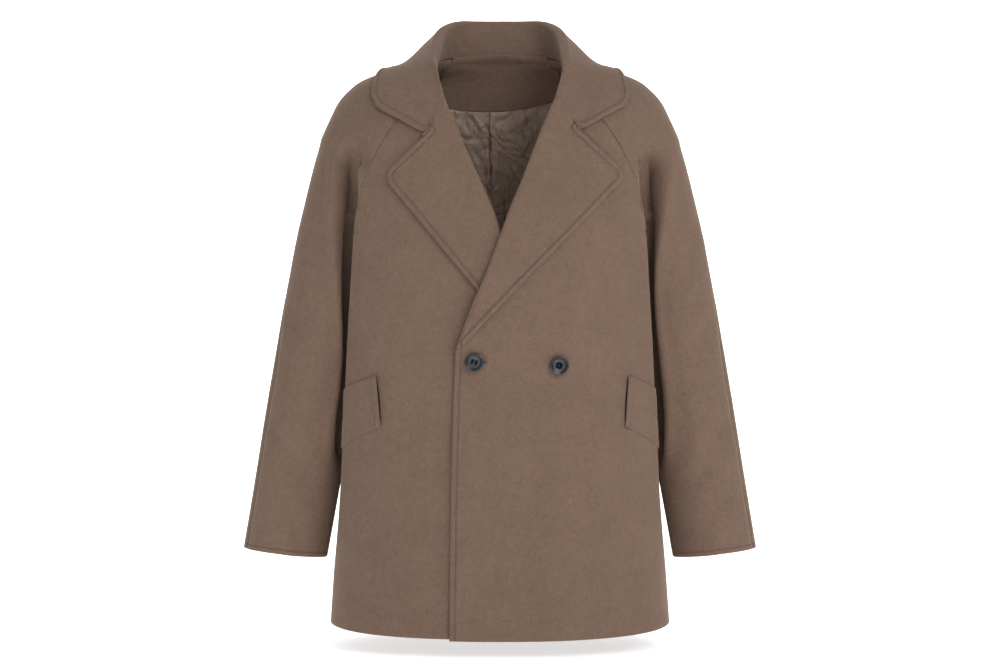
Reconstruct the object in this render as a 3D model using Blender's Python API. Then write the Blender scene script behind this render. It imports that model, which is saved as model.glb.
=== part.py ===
"""Raglan pea coat, worn and hollow: front, back, sleeves, collar, lapels, flaps, buttons.

Metres, +Z up. X is the wearer's left, the coat faces -Y. The origin is on the wearer's
shoulders, at the base of the neck. All cloth lies on one form, which is given by
horizontal sections of the body and of the arms.
"""
from math import cos, pi, radians, sin

import bmesh
import bpy
import numpy as np
from mathutils import Vector
from mathutils.bvhtree import BVHTree

# ---- driving sizes ---------------------------------------------------------------
WALL = 0.003              # coating cloth with its backing
FOLDED_CLOTH = 0.004      # collar and lapels, two layers pressed together
LINING_WALL = 0.001
FACING_WALL = 0.002
SEAM = 0.0002             # each piece stops this far short of its seam
CLEARANCE = 0.0006        # between pieces that are sewn flat on each other
COLLAR_CLEARANCE = 0.0013
FLAP_CLEARANCE = 0.0018
LYING = 0.0013            # under the collar and lapels, which only lie there
HEM_SIDE = -0.789
HEM_DROP = 0.012          # the hem hangs this much lower at the front
LAP_DROP = 0.0145
ARMPIT = -0.247
CAP_TOP = -0.075          # above this the shoulder is one round form
CLEFT_START = -0.125      # the cleft beside the arm is open below this
CAP_END = -0.150          # below this the arm stands apart from the body by a fold
FOLD_ROUND = 0.018        # softness of the fold in front of the arm
CLEFT_MOUTH = 0.026       # width of the cleft where it opens to the front
SQUARENESS = 2.6          # of the body's sections; 2 would be an ellipse
CLEFT_SLOPE = 0.4         # how quickly the cleft closes above the armpit
ARM_FLATNESS = 1.25       # of the arm's side that faces the body
THIN_SHARE = 0.34         # share of the wall that is left where the cleft turns
GUSSET_SHARE = 0.965      # the raglan seam keeps this side of the cleft above the armpit
FRONT_NECK = -0.037       # where the front ends under the collar

# ---- form: body sections (z, half width, front and back depth, middle y) ----------
BODY = {
    "z":     (-0.810, -0.620, -0.500, -0.400, -0.300, -0.247, -0.200, -0.150,
              -0.110, -0.080, -0.050, -0.030, -0.014, -0.004, 0.002, 0.008, 0.021),
    "half":  (0.2425, 0.230, 0.2285, 0.227, 0.226, 0.226, 0.226, 0.227,
              0.229, 0.232, 0.224, 0.203, 0.165, 0.125, 0.090, 0.084, 0.010),
    "front": (0.161, 0.147, 0.141, 0.137, 0.134, 0.131, 0.126, 0.117,
              0.106, 0.094, 0.074, 0.056, 0.041, 0.034, 0.030, 0.028, 0.025),
    "back":  (0.150, 0.135, 0.128, 0.122, 0.119, 0.118, 0.119, 0.120,
              0.119, 0.117, 0.114, 0.110, 0.105, 0.100, 0.097, 0.094, 0.085),
}
# ---- form: arm sections (z, outer and inner x, front and back depth, middle y) ----
ARM = {
    "z":     (-0.720, -0.620, -0.500, -0.400, -0.300, -0.247, -0.200, -0.150, -0.110, -0.075),
    "outer": (0.3700, 0.3530, 0.3340, 0.3170, 0.2995, 0.2890, 0.2780, 0.2655, 0.2550, 0.2410),
    "inner": (0.2470, 0.2290, 0.2065, 0.1870, 0.1690, 0.1610, 0.1520, 0.1450, 0.1400, 0.1300),
    "front": (0.0460, 0.0510, 0.0550, 0.0580, 0.0590, 0.0590, 0.0600, 0.0620, 0.0650, 0.0700),
    "back":  (0.0500, 0.0580, 0.0660, 0.0710, 0.0740, 0.0750, 0.0760, 0.0770, 0.0790, 0.0820),
}
ARM_MIDDLE = 0.006
# ---- form: ridge of the shoulder and arm, down from the neck -----------------------
RIDGE = {
    "z": (0.002, -0.005, -0.0145, -0.0265, -0.041, -0.055, -0.083, -0.112),
    "x": (0.088, 0.125, 0.165, 0.197, 0.216, 0.229, 0.243, 0.2555),
}
RIDGE_MIDDLE = 0.012
# ---- raglan seams: x where the seam crosses each height -----------------------------
FRONT_SEAM = {
    "z": (-0.215, -0.177, -0.148, -0.122, -0.0925, -0.065, -0.037),
    "x": (0.198, 0.191, 0.178, 0.164, 0.144, 0.121, 0.098),
}
BACK_SEAM = {
    "z": (-0.210, -0.160, -0.110, -0.060, -0.020, 0.011),
    "x": (0.190, 0.178, 0.158, 0.130, 0.101, 0.074),
}
# ---- roll lines of the lapels: x at each height, over and under the lap ------------
ROLL = {
    "z":     (-0.409, -0.356, -0.307, -0.245, -0.222, -0.191, -0.160, -0.134,
              -0.111, -0.083, -0.055, -0.037),
    "over":  (-0.0595, -0.0405, -0.020, 0.003, 0.0112, 0.024, 0.036, 0.0455,
              0.0545, 0.0665, 0.078, 0.0835),
    "under": (-0.060, -0.041, -0.022, -0.001, 0.0066, 0.0202, 0.034, 0.0455,
              0.0548, 0.0675, 0.078, 0.0835),
}
FRONT_EDGE = {"z": (-0.810, -0.612, -0.504, -0.450, -0.409),
              "x": (-0.0677, -0.0661, -0.0636, -0.0617, -0.0595)}
# ---- lapels: corners as (x, z) on the front ----------------------------------------
LAPELS = {
    "left":  {"notch": (0.106, -0.1025), "point": (0.1745, -0.168),
              "hollow": (0.012, -0.338), "break": (-0.0540, -0.4085), "round": 0.013},
    "right": {"notch": (0.096, -0.108), "point": (0.160, -0.170),
              "hollow": (0.012, -0.351), "break": (-0.0500, -0.4060), "round": 0.012},
}
GORGE = (0.076, -0.066)   # where collar and lapel meet on the roll line
# ---- collar: roll and outer edge, by the share along the neck seam from centre back ----
COLLAR = {
    "along":  (0.000, 0.200, 0.365, 0.540, 0.720, 0.867),
    "roll_x": (0.0000, 0.0420, 0.0680, 0.0860, 0.0905, 0.0870),
    "roll_y": (0.0960, 0.0920, 0.0700, 0.0300, -0.0150, -0.0520),
    "roll_z": (0.0700, 0.0700, 0.0650, 0.0460, 0.0140, -0.0200),
    "edge_x": (0.0000, 0.0650, 0.1220, 0.1590, 0.1680, 0.1750),
    "edge_y": (0.1290, 0.1230, 0.0900, 0.0400, 0.0000, -0.0400),
    "edge_z": (-0.0350, -0.0360, -0.0310, -0.0120, -0.0200, -0.0480),
}
COLLAR_FRONT = {"left": {"corner": (0.1800, -0.0680), "notch": (0.112, -0.1040)},
                "right": {"corner": (0.1765, -0.0700), "notch": (0.1035, -0.1085)}}
ROLL_RADIUS = 0.0052      # outer radius of the lapels' folds
COLLAR_RADIUS = 0.0070
PRESSED_RADIUS = 0.0041   # where the right lapel's fold is pressed under the left front
COLLAR_SHARE = 0.80       # the collar's thickness, of the lapels'
COLLAR_FOOT = (0.0006, 0.0017)  # the stand's foot lies this far inside its seam, back and front
ROLL_TURN = 0.0076        # the fronts stop this far inside the roll line
# ---- lapel rows: share along the roll line, and along the outline from the notch ----
LAPEL_ROWS = {
    "along":   (0.00, 0.11, 0.16, 0.20, 0.235, 0.28, 0.35, 0.43, 0.52, 0.61, 0.70, 0.79, 0.89, 1.00),
    "outline": (0.00, 0.06, 0.13, 0.19, 0.225, 0.26, 0.33, 0.42, 0.51, 0.60, 0.69, 0.79, 0.89, 0.97),
}
LAPEL_END = {"left": -0.393, "right": -0.384}
# ---- pocket flaps: top and bottom heights at the front edge and at the side --------
FLAP = {"front_x": (0.1720, 0.1665), "top": (-0.4446, -0.4660), "bottom": (-0.5140, -0.5450)}
FLAP_WALL = 0.0026
FLAP_WRAP = 0.062         # the flap goes on round the side this far past the fold
BUTTONS = {"left": (0.0795, -0.4305), "right": (-0.0345, -0.4260)}
# ---- inside the back: facing under the neck, and lining below it --------------------
FACING_WIDTH = (0.098, 0.071)     # half width at its lower and its upper edge
FACING_LOW = (-0.0605, 0.06, 1.6)  # height of the lower edge: middle, slope, bend
LINING_HALF = {"z": (-0.770, -0.160, -0.110, -0.060), "x": (0.148, 0.145, 0.138, 0.105)}
PLEAT = {"x": (-0.0200, -0.0150, -0.0135, -0.0060, 0.0010, 0.0060),
         "rise": (0.0, 0.0010, 0.0045, 0.0040, 0.0012, 0.0)}
PLEAT_END = -0.420
LINING_ROWS = (-0.060, -0.110, -0.170, -0.240, -0.320, -0.400, -0.490, -0.580, -0.670, -0.765)
# ---- buttons: a dished disc with a raised rim (radius, height) ----------------------
BUTTON_PROFILE = ((0.0108, 0.0000), (0.0132, 0.0010), (0.0138, 0.0024), (0.0132, 0.0039),
                  (0.0119, 0.0045), (0.0106, 0.0040), (0.0094, 0.0031))

# ---- how fine the grids are ---------------------------------------------------------
SAMPLES = 81
LEVELS = 150
BODY_ROWS = 12
CAP_ROWS = 10
CAP_SPREAD = 1.45         # rows lie closer towards the armpit
ARM_ROWS = 8
FRONT_COLUMNS = 7
BACK_COLUMNS = 6
SIDE_COLUMNS = 5
GUSSET_COLUMNS = 4
ARM_COLUMNS = 8
FOLD_POINTS = 5
COLLAR_STATIONS = 15
FALL_POINTS = 6
LAPEL_POINTS = 6
BUTTON_SIDES = 20


def smooth_at(table, column, where):
    """Reads a table by its first column, with a smooth curve through the rows."""
    z = np.asarray(table[next(iter(table))], float)
    v = np.asarray(table[column], float)
    if z[0] > z[-1]:
        z, v = z[::-1], v[::-1]
    slope = np.diff(v) / np.diff(z)
    tangent = np.concatenate((slope[:1], (slope[:-1] + slope[1:]) / 2, slope[-1:]))
    flat = np.concatenate(((False,), slope[:-1] * slope[1:] <= 0, (False,)))
    tangent[flat] = 0.0
    where = np.clip(np.asarray(where, float), z[0], z[-1])
    i = np.clip(np.searchsorted(z, where) - 1, 0, len(z) - 2)
    h = z[i + 1] - z[i]
    t = (where - z[i]) / h
    return ((2 * t**3 - 3 * t**2 + 1) * v[i] + (t**3 - 2 * t**2 + t) * h * tangent[i]
            + (3 * t**2 - 2 * t**3) * v[i + 1] + (t**3 - t**2) * h * tangent[i + 1])


def ease(value, start, end):
    t = np.clip((value - start) / (end - start), 0.0, 1.0)
    return t * t * (3 - 2 * t)


def resample(points, count):
    """The same curve with evenly spaced points."""
    points = np.asarray(points, float)
    steps = np.linalg.norm(np.diff(points, axis=0), axis=1)
    along = np.concatenate(((0.0,), np.cumsum(steps)))
    wanted = np.linspace(0.0, along[-1], count)
    return np.stack([np.interp(wanted, along, points[:, k])
                     for k in range(points.shape[1])], axis=1)


def soft_min(a, b, radius):
    h = np.clip(0.5 + 0.5 * (b - a) / radius, 0.0, 1.0)
    return b * (1 - h) + a * h - radius * h * (1 - h)


def side_gap(z):
    """Clear width between the side of the body and the sleeve."""
    return 0.0005 + 0.0055 * ease(-z, 0.235, 0.31) - 0.004 * ease(-z, 0.54, 0.62)


def shoulder_section(z, facing):
    """Upper sections, (body part, arm part): one round form from centre to ridge."""
    column = "front" if facing < 0 else "back"
    if z > RIDGE["z"][0]:
        rise = min((z - RIDGE["z"][0]) / 0.019, 1.0)
        half = 0.088 * (1 - rise**2) ** 0.5 + 1e-4
        middle = RIDGE_MIDDLE + 0.073 * (1 - (half / 0.0885) ** 2) ** 0.5
    else:
        half = float(smooth_at(RIDGE, "x", z))
        middle = RIDGE_MIDDLE
    depth = float(smooth_at(BODY, column, z)) - facing * middle
    angle = np.linspace(0, pi / 2, 400)
    power = 2 / 2.4
    x = half * np.sin(angle) ** power
    y = middle + facing * max(depth, 1e-4) * np.abs(np.cos(angle)) ** power
    curve = np.stack((x, y), axis=1)
    split = int(np.searchsorted(x, 0.86 * half))
    return curve[:split + 1], curve[split:]


def arm_section(middle, reach, depth, angle):
    """Point of an arm section; the quarters beside the body are pressed flatter."""
    power = ARM_FLATNESS if angle > pi / 2 else 1.0
    across = abs(cos(angle)) ** power * (1 if angle < pi / 2 else -1)
    return middle + reach * across, depth * abs(sin(angle)) ** power


def fold_section(z, facing):
    """Lower sections, (body part, arm part), parted by the cleft beside the arm."""
    column = "front" if facing < 0 else "back"
    half = float(smooth_at(BODY, "half", z))
    depth = float(smooth_at(BODY, column, z))
    outer = float(smooth_at(ARM, "outer", z))
    inner = float(smooth_at(ARM, "inner", z))
    arm_depth = float(smooth_at(ARM, column, z))
    middle, reach = (outer + inner) / 2, (outer - inner) / 2
    closed = np.clip((z - ARMPIT) / (CAP_TOP - ARMPIT), 0.0, 1.0) ** CLEFT_SLOPE
    turn = pi / 2 + pi / 2 * (1 - closed)
    bottom = arm_depth * sin(turn) ** ARM_FLATNESS
    angle = np.linspace(0, pi / 2, 600)
    x = half * np.sin(angle) ** (2 / SQUARENESS)
    out = depth * np.abs(np.cos(angle)) ** (2 / SQUARENESS)
    inside = np.clip(1 - (out / arm_depth) ** (2 / ARM_FLATNESS), 0, 1)
    arm_x = middle - reach * inside ** (ARM_FLATNESS / 2)
    mouth = np.clip((out - bottom) / max(arm_depth - bottom, 1e-4), 0, 1)
    least = float(side_gap(z)) if z < ARMPIT else 0.0
    gap = least + (CLEFT_MOUTH - least) * mouth**0.7
    cut = arm_x - gap + 1.5 * np.clip(out - arm_depth, 0, None)
    x = soft_min(x, cut, FOLD_ROUND)
    if z < ARMPIT:
        x = np.minimum(x, arm_x - least * (out < arm_depth) + (out >= arm_depth))
    keep = out >= bottom
    body = np.stack((x[keep], facing * out[keep]), axis=1)
    sweep = np.linspace(turn, 0, 300)
    arm = np.array([arm_section(middle, reach, arm_depth * facing, a) for a in sweep])
    if z >= ARMPIT:
        body = np.vstack((body, arm[:1]))
    body[:, 1] += ARM_MIDDLE
    arm[:, 1] += ARM_MIDDLE
    return body, arm


class Form:
    """One half (front or back) of the coat's outer surface, on a grid of heights."""

    def __init__(self, facing):
        self.facing = facing
        self.z = np.concatenate((np.linspace(-0.812, ARMPIT, LEVELS // 2)[:-1],
                                 np.linspace(ARMPIT, 0.021, LEVELS // 2)))
        body, arm = [], []
        for z in self.z:
            low = ease(-z, -CAP_TOP, -CAP_END)
            parts = []
            if low < 1:
                parts.append((1 - low, shoulder_section(z, facing)))
            if low > 0:
                parts.append((low, fold_section(z, facing)))
            body.append(sum(w * resample(p[0], SAMPLES) for w, p in parts))
            arm.append(sum(w * resample(p[1], SAMPLES) for w, p in parts))
        self.body = self.soften(np.array(body))
        self.arm = np.array(arm)
        crest = np.argmax(self.body[:, :, 0], axis=1) / (SAMPLES - 1)
        near = np.ones(7) / 7
        self.crest = np.convolve(np.pad(crest, 3, mode="edge"), near, mode="valid")

    @staticmethod
    def soften(grid):
        """Rounds the sections a little across the body, ends held."""
        for _ in range(6):
            grid[:, 1:-1] = (grid[:, :-2] + 2 * grid[:, 1:-1] + grid[:, 2:]) / 4
        return grid

    def read(self, grid, share, z):
        """Point at a share of the way along the section at a height."""
        share, z = np.broadcast_arrays(np.asarray(share, float), np.asarray(z, float))
        sign = np.where(share < 0, -1.0, 1.0)
        across = np.clip(np.abs(share), 0, 1) * (SAMPLES - 1)
        i = np.minimum(across.astype(int), SAMPLES - 2)
        k = np.clip(np.searchsorted(self.z, z, side="right") - 1, 0, len(self.z) - 2)
        up = np.clip((z - self.z[k]) / (self.z[k + 1] - self.z[k]), 0, 1)
        a, b = (across - i)[..., None], up[..., None]
        xy = ((grid[k, i] * (1 - a) + grid[k, i + 1] * a) * (1 - b)
              + (grid[k + 1, i] * (1 - a) + grid[k + 1, i + 1] * a) * b)
        return np.stack((xy[..., 0] * sign, xy[..., 1], z), axis=-1)

    def fold_share(self, z):
        """Where the fold beside the arm stands out furthest on a body section."""
        return float(np.interp(z, self.z, self.crest))

    def share_at(self, x, z):
        """Share along the body section where it first reaches x."""
        size = abs(x)
        row = np.maximum.accumulate(self.read(self.body, np.linspace(0, 1, 161), z)[:, 0])
        share = float(np.interp(size, row + np.arange(161) * 1e-9, np.linspace(0, 1, 161)))
        return -share if x < 0 else share

    def normal(self, share, z, step=0.004):
        """Outward direction of the body's surface."""
        here = self.read(self.body, (share - step, share + step), (z, z))
        rise = self.read(self.body, (share, share), (z - step, z + step))
        n = np.cross(here[1] - here[0], rise[1] - rise[0])
        n /= np.linalg.norm(n)
        return n if n[1] * self.facing > 0 else -n


FRONT = Form(-1)
BACK = Form(1)


def seam_share(form, z):
    """Where the raglan seam crosses a body section; 1 is the side seam."""
    table = FRONT_SEAM if form.facing < 0 else BACK_SEAM
    last = table["z"][0]
    if z <= ARMPIT:
        return 1.0
    if z >= last:
        return min(abs(form.share_at(float(smooth_at(table, "x", z)), z)), 1.0)
    start = abs(form.share_at(table["x"][0], last))
    return start + (GUSSET_SHARE - start) * ((last - z) / (last - ARMPIT)) ** 0.9


def lap_lift(x, z):
    """How far the upper front stands off, where it laps over the other."""
    near = 1 - ease(x, 0.085, 0.155)
    thick = 0.0050 + 0.0064 * ease(z, -0.45, -0.38)
    return thick * near * (1 - ease(z, -0.225, -0.150))


def on_front(x, z, out=0.0, lapped=False):
    """A point on the front at (x, z), moved out along the surface's normal."""
    share = FRONT.share_at(x, z)
    point = FRONT.read(FRONT.body, share, z)
    if lapped:
        out = out + float(lap_lift(x, z))
    return point + FRONT.normal(share, z) * out


# ---- building solids from surfaces --------------------------------------------------
class Sheet:
    """A surface of points and faces, outer side; points within 1 micron are shared."""

    def __init__(self, name):
        self.name = name
        self.points = []
        self.faces = []
        self.rows = []
        self.index = {}

    def point(self, p):
        key = tuple(int(round(float(c) * 1e6)) for c in p)
        if key not in self.index:
            self.index[key] = len(self.points)
            self.points.append(np.asarray(p, float))
        return self.index[key]

    def grid(self, rows, flip=False):
        self.rows = rows
        ids = [[self.point(p) for p in row] for row in rows]
        for lower, upper in zip(ids, ids[1:]):
            for a, b, c, d in zip(lower, lower[1:], upper[1:], upper):
                ring = [a, b, c, d] if not flip else [d, c, b, a]
                ring = [v for n, v in enumerate(ring) if v != ring[n - 1]]
                if len(set(ring)) > 2:
                    self.faces.append(ring)

    def face_normal(self, face):
        p = [self.points[v] for v in face]
        if len(p) == 3:
            return np.cross(p[1] - p[0], p[2] - p[0])
        return np.cross(p[2] - p[0], p[3] - p[1])

    def turn_to(self, face, direction):
        """Turns all faces over if this one doesn't look in the given direction."""
        if np.dot(self.face_normal(self.faces[face]), direction) < 0:
            self.faces = [ring[::-1] for ring in self.faces]

    def mirrored(self, name):
        other = Sheet(name)
        other.points = [p * (-1, 1, 1) for p in self.points]
        other.faces = [face[::-1] for face in self.faces]
        return other


def place_key(p):
    """Points within about a hundredth of a millimetre count as one place."""
    return tuple(int(round(float(c) * 1e5)) for c in p)


def shared_normals(sheets, fixed):
    """Point normals over all sheets that meet; fixed gives some by (group, place)."""
    total = {}
    for sheet in sheets:
        for face in sheet.faces:
            n = sheet.face_normal(face)
            for v in face:
                key = place_key(sheet.points[v])
                total[key] = total.get(key, 0) + n
    result = []
    for sheet in sheets:
        group = "sleeve" if "sleeve" in sheet.name else "body"
        rows = []
        for p in sheet.points:
            key = place_key(p)
            n = fixed.get((group, key), total.get(key))
            rows.append(n / max(np.linalg.norm(n), 1e-12))
        result.append(np.array(rows))
    return result


def cloth_thickness(sheet, cleft):
    """The wall at each point: full, but thin where the walls turn at the cleft."""
    points = np.array(sheet.points)
    points[:, 0] = np.abs(points[:, 0])
    away = np.linalg.norm(points[:, None] - cleft[None], axis=2).min(axis=1)
    return WALL * (THIN_SHARE + (1 - THIN_SHARE) * ease(away, 0.015, 0.050))


def cleft_line():
    """The bottoms of the front and back clefts, with the armpit."""
    lines = []
    for form in (FRONT, BACK):
        z = np.linspace(ARMPIT, CLEFT_START, 40)
        lines.append(form.read(form.body, 1.0, z))
    return np.vstack(lines)


def armpit_normals():
    """Outward directions where opposite walls meet: at the armpit and up each cleft."""
    fixed = {}
    for side in (1, -1):
        place = place_key(FRONT.read(FRONT.body, 1.0, ARMPIT) * (side, 1, 1))
        fixed["body", place] = np.array((0.97 * side, 0, -0.24))
        fixed["sleeve", place] = np.array((0.0, 0, -0.95))
        for form in (FRONT, BACK):
            line = np.array([r[GUSSET_COLUMNS] for r in cap_rows(form)])
            for n in range(1, len(line) - 1):
                run = line[n + 1] - line[n - 1]
                if line[n][2] < CLEFT_START:
                    fixed["sleeve", place_key(line[n] * (side, 1, 1))] = np.array(
                        (0.0, form.facing * abs(run[2]), -abs(run[1])))
    return fixed


def wall(sheet, normals, thickness, color, roughness=0.9, inset=SEAM):
    """A closed solid: the sheet as outer side, its copy moved in, and the edges."""
    points = np.array(sheet.points)
    uses = {}
    for face in sheet.faces:
        for a, b in zip(face, face[1:] + face[:1]):
            uses[(a, b)] = uses.get((a, b), 0) + 1
    border = [edge for edge in uses if (edge[1], edge[0]) not in uses]
    if inset:
        rim = {v for edge in border for v in edge}
        pull = {v: np.zeros(3) for v in rim}
        for face in sheet.faces:
            middle = points[face].mean(axis=0)
            for v in face:
                if v in pull:
                    away = middle - points[v]
                    pull[v] = pull[v] + away / max(np.linalg.norm(away), 1e-9)
        moved = points.copy()
        for v, away in pull.items():
            moved[v] = points[v] + away / max(np.linalg.norm(away), 1e-9) * inset * 1.4
        points = moved
    inner = points - normals * np.reshape(thickness, (-1, 1))
    count = len(points)
    faces = [list(face) for face in sheet.faces]
    faces += [[v + count for v in face[::-1]] for face in sheet.faces]
    faces += [[b, a, a + count, b + count] for a, b in border]
    return solid(sheet.name, np.vstack((points, inner)), faces, color, roughness)


def material(name, color, roughness, metallic=0.0):
    found = bpy.data.materials.new(name)
    found.use_nodes = True
    shader = found.node_tree.nodes["Principled BSDF"]
    shader.inputs["Base Color"].default_value = (*color, 1.0)
    shader.inputs["Roughness"].default_value = roughness
    shader.inputs["Metallic"].default_value = metallic
    return found


def solid(name, points, faces, color, roughness):
    mesh = bpy.data.meshes.new(name)
    mesh.from_pydata([tuple(p) for p in points], [], faces)
    edit = bmesh.new()
    edit.from_mesh(mesh)
    bmesh.ops.triangulate(edit, faces=edit.faces[:], quad_method="SHORT_EDGE")
    if edit.calc_volume() < 0:
        bmesh.ops.reverse_faces(edit, faces=edit.faces[:])
    edit.to_mesh(mesh)
    edit.free()
    mesh.shade_smooth()
    mesh.set_sharp_from_angle(angle=radians(40))
    mesh.materials.append(material(name, color, roughness))
    piece = bpy.data.objects.new(name, mesh)
    bpy.context.collection.objects.link(piece)
    return piece


WOOL = (0.19, 0.13, 0.10)
SATIN = (0.17, 0.13, 0.11)
HORN = (0.055, 0.062, 0.075)


# ---- body -----------------------------------------------------------------------------
def body_heights():
    """Heights of the grid's rows from hem to armpit."""
    share = np.linspace(0, 1, BODY_ROWS + 1)
    return HEM_SIDE + (ARMPIT - HEM_SIDE) * share**0.92


def hem_tilt(z, share, drop):
    """How much lower a row hangs towards centre front."""
    fade = ease(-z, 0.62, -HEM_SIDE)
    return -drop * fade * (1 - np.abs(share) ** 2.2)


def columns(form, z, left, right, before, after):
    """Shares of a row's points: some up to the fold beside the arm, some past it."""
    turn = min(form.fold_share(z), left + (right - left) * 0.86, 0.82)
    first = np.linspace(left, turn, before + 1)
    return np.concatenate((first, np.linspace(turn, right, after + 1)[1:]))


def cap_heights(form, top):
    share = np.linspace(0, 1, CAP_ROWS + 1)[1:]
    return ARMPIT + (top - ARMPIT) * share ** CAP_SPREAD


def front_edge(column, z):
    """Edge of a front: the free edge below the break, just inside the roll line above."""
    if z <= ROLL["z"][0]:
        return float(smooth_at(FRONT_EDGE, "x", z))
    slant = 1.12
    return float(smooth_at(ROLL, column, z)) + ROLL_TURN * slant * float(ease(z, -0.409, -0.396))


def front_panel(name, over):
    """A front in the +X half, from its front edge or roll line to side and raglan seam."""
    sheet = Sheet(name)
    column = "over" if over else "under"
    rows = []
    heights = list(body_heights()) + list(cap_heights(FRONT, FRONT_NECK))
    for z in heights:
        edge_x = front_edge(column, z)
        left = FRONT.share_at(edge_x, z)
        right = seam_share(FRONT, z)
        share = columns(FRONT, z, left, right, FRONT_COLUMNS, SIDE_COLUMNS)
        level = z + hem_tilt(z, share, LAP_DROP if over else HEM_DROP)
        points = FRONT.read(FRONT.body, share, level)
        if over:
            for n, (s, p) in enumerate(zip(share, points)):
                lift = float(lap_lift(p[0], p[2]))
                if lift > 0:
                    points[n] = p + FRONT.normal(s, level[n]) * lift
        rows.append(points)
    sheet.grid(rows)
    return sheet


def back_panel():
    sheet = Sheet("back")
    rows = []
    for z in body_heights():
        share = columns(BACK, z, 0.0, 1.0, BACK_COLUMNS, SIDE_COLUMNS)
        rows.append(BACK.read(BACK.body, share, np.full(len(share), z)))
    seam_top = BACK_SEAM["z"][-1]
    for z in cap_heights(BACK, seam_top):
        rise = (z - ARMPIT) / (seam_top - ARMPIT)
        share = columns(BACK, z, 0.0, seam_share(BACK, z), BACK_COLUMNS, SIDE_COLUMNS)
        level = z + 0.010 * rise**2 * (1 - (share / share[-1])**2)
        rows.append(BACK.read(BACK.body, share, level))
    full = [np.vstack((row[:0:-1] * (-1, 1, 1), row)) for row in rows]
    sheet.grid(full, flip=True)
    return sheet


# ---- sleeves --------------------------------------------------------------------------
def overarm_turn(z):
    """Angle of the overarm seam, forward of the outermost line."""
    return radians(24) * ease(-z, 0.24, 0.46)


def bezier(a, b, c, d, count):
    t = np.linspace(0, 1, count)[:, None]
    return (1 - t)**3 * a + 3 * (1 - t)**2 * t * b + 3 * (1 - t) * t**2 * c + t**3 * d


def arm_point(z, angle):
    """Point of the arm section; angle 0 is outermost, positive turns to the front."""
    form = FRONT if angle >= 0 else BACK
    outer, inner = (float(smooth_at(ARM, c, z)) for c in ("outer", "inner"))
    depth = float(smooth_at(ARM, "front" if angle >= 0 else "back", z))
    middle, reach = (outer + inner) / 2, (outer - inner) / 2
    x, y = arm_section(middle, reach, depth * form.facing, abs(angle))
    return np.array((x, y + ARM_MIDDLE, z))


def cap_rib(form, seam_z, ridge_z, row_share):
    """One cross line of the sleeve head: gusset points, then points up to the ridge."""
    facing = form.facing
    left = seam_share(form, seam_z)
    b = form.read(form.body, left, seam_z)
    tip = form.read(form.arm, 1.0, ridge_z)
    count = GUSSET_COLUMNS + ARM_COLUMNS + 1
    chord = tip - b
    length = np.linalg.norm(chord)
    n = form.normal(left, seam_z)
    along = chord - n * np.dot(chord, n)
    along /= np.linalg.norm(along)
    crown = np.array((0, facing, 0))
    smooth_line = bezier(b, b + along * length * 0.36, tip + crown * length * 0.36, tip, count)
    past = (form.fold_share(seam_z) - left) / max(1 - left, 1e-6)
    past = max(past, 0.6 / GUSSET_COLUMNS)
    g = np.concatenate(((0.0,), np.linspace(past, 1, GUSSET_COLUMNS)))
    split = GUSSET_COLUMNS / (GUSSET_COLUMNS + ARM_COLUMNS) * (1 - row_share)
    z_gusset = seam_z + (ridge_z - seam_z) * g * split
    gusset = form.read(form.body, left + (1 - left) * g, z_gusset)
    a = np.linspace(0, 1, ARM_COLUMNS + 1)[1:]
    z_arm = seam_z + (ridge_z - seam_z) * (split + (1 - split) * a)
    arm = form.read(form.arm, a, z_arm)
    formed = np.vstack((gusset, arm))
    formed[-1] = tip
    weight = ease(row_share, 0.30, 0.62)
    return smooth_line * (1 - weight) + formed * weight


def cap_rows(form):
    """The sleeve head's cross lines, from the neck down to the armpit."""
    seam_top = FRONT_NECK if form.facing < 0 else BACK_SEAM["z"][-1]
    rows = []
    for row in range(CAP_ROWS + 1):
        share = row / CAP_ROWS
        rows.append(cap_rib(form, cap_z(seam_top, row), ridge_height(share), share))
    return rows


def sleeve_half(name, form):
    sheet = Sheet(name)
    facing = form.facing
    cap = cap_rows(form)
    sheet.grid([r[:GUSSET_COLUMNS + 1] for r in cap], flip=facing < 0)
    tube = [r[GUSSET_COLUMNS:] for r in cap]
    top_z = ridge_height(1.0)
    for row in range(1, ARM_ROWS + 1):
        share = (row / ARM_ROWS) ** 0.95
        outer_z = top_z + (-0.690 - top_z) * share
        inner_z = ARMPIT + (-0.704 - ARMPIT) * share
        points = []
        for angle in np.linspace(pi, -facing * overarm_turn(outer_z), ARM_COLUMNS + 1):
            z = outer_z + (inner_z - outer_z) * (1 - cos(angle)) / 2
            points.append(arm_point(z, -facing * angle))
        tube.append(np.array(points))
    sheet.grid(tube, flip=facing < 0)
    return sheet


def cap_z(seam_top, row):
    """Heights on the raglan seam that match the rows of the body panels."""
    share = 1 - row / CAP_ROWS
    return ARMPIT + (seam_top - ARMPIT) * share ** CAP_SPREAD


def ridge_height(share):
    """Height on the ridge for a row of the sleeve head, evenly spaced along it."""
    z = np.concatenate((np.linspace(0.002, -0.112, 60), np.linspace(-0.116, -0.232, 30)))
    x = FRONT.read(FRONT.arm, 1.0, z)[:, 0]
    along = np.concatenate(((0.0,), np.cumsum(np.hypot(np.diff(x), np.diff(z)))))
    return float(np.interp(share * along[-1], along, z))


# ---- pieces that lie on the cloth --------------------------------------------------------
def unit(v):
    return v / max(np.linalg.norm(v), 1e-12)


def tree_of(sheets):
    points, faces = [], []
    for sheet in sheets:
        start = len(points)
        points += [Vector(p) for p in sheet.points]
        faces += [[v + start for v in face] for face in sheet.faces]
    return BVHTree.FromPolygons(points, faces)


def landing(tree, point, normal, above=0.03, below=0.06):
    """Where the cloth is met, coming in against the normal."""
    hit = tree.ray_cast(Vector(point + normal * above), Vector(-normal), above + below)[0]
    return None if hit is None else np.array(hit)


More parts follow.
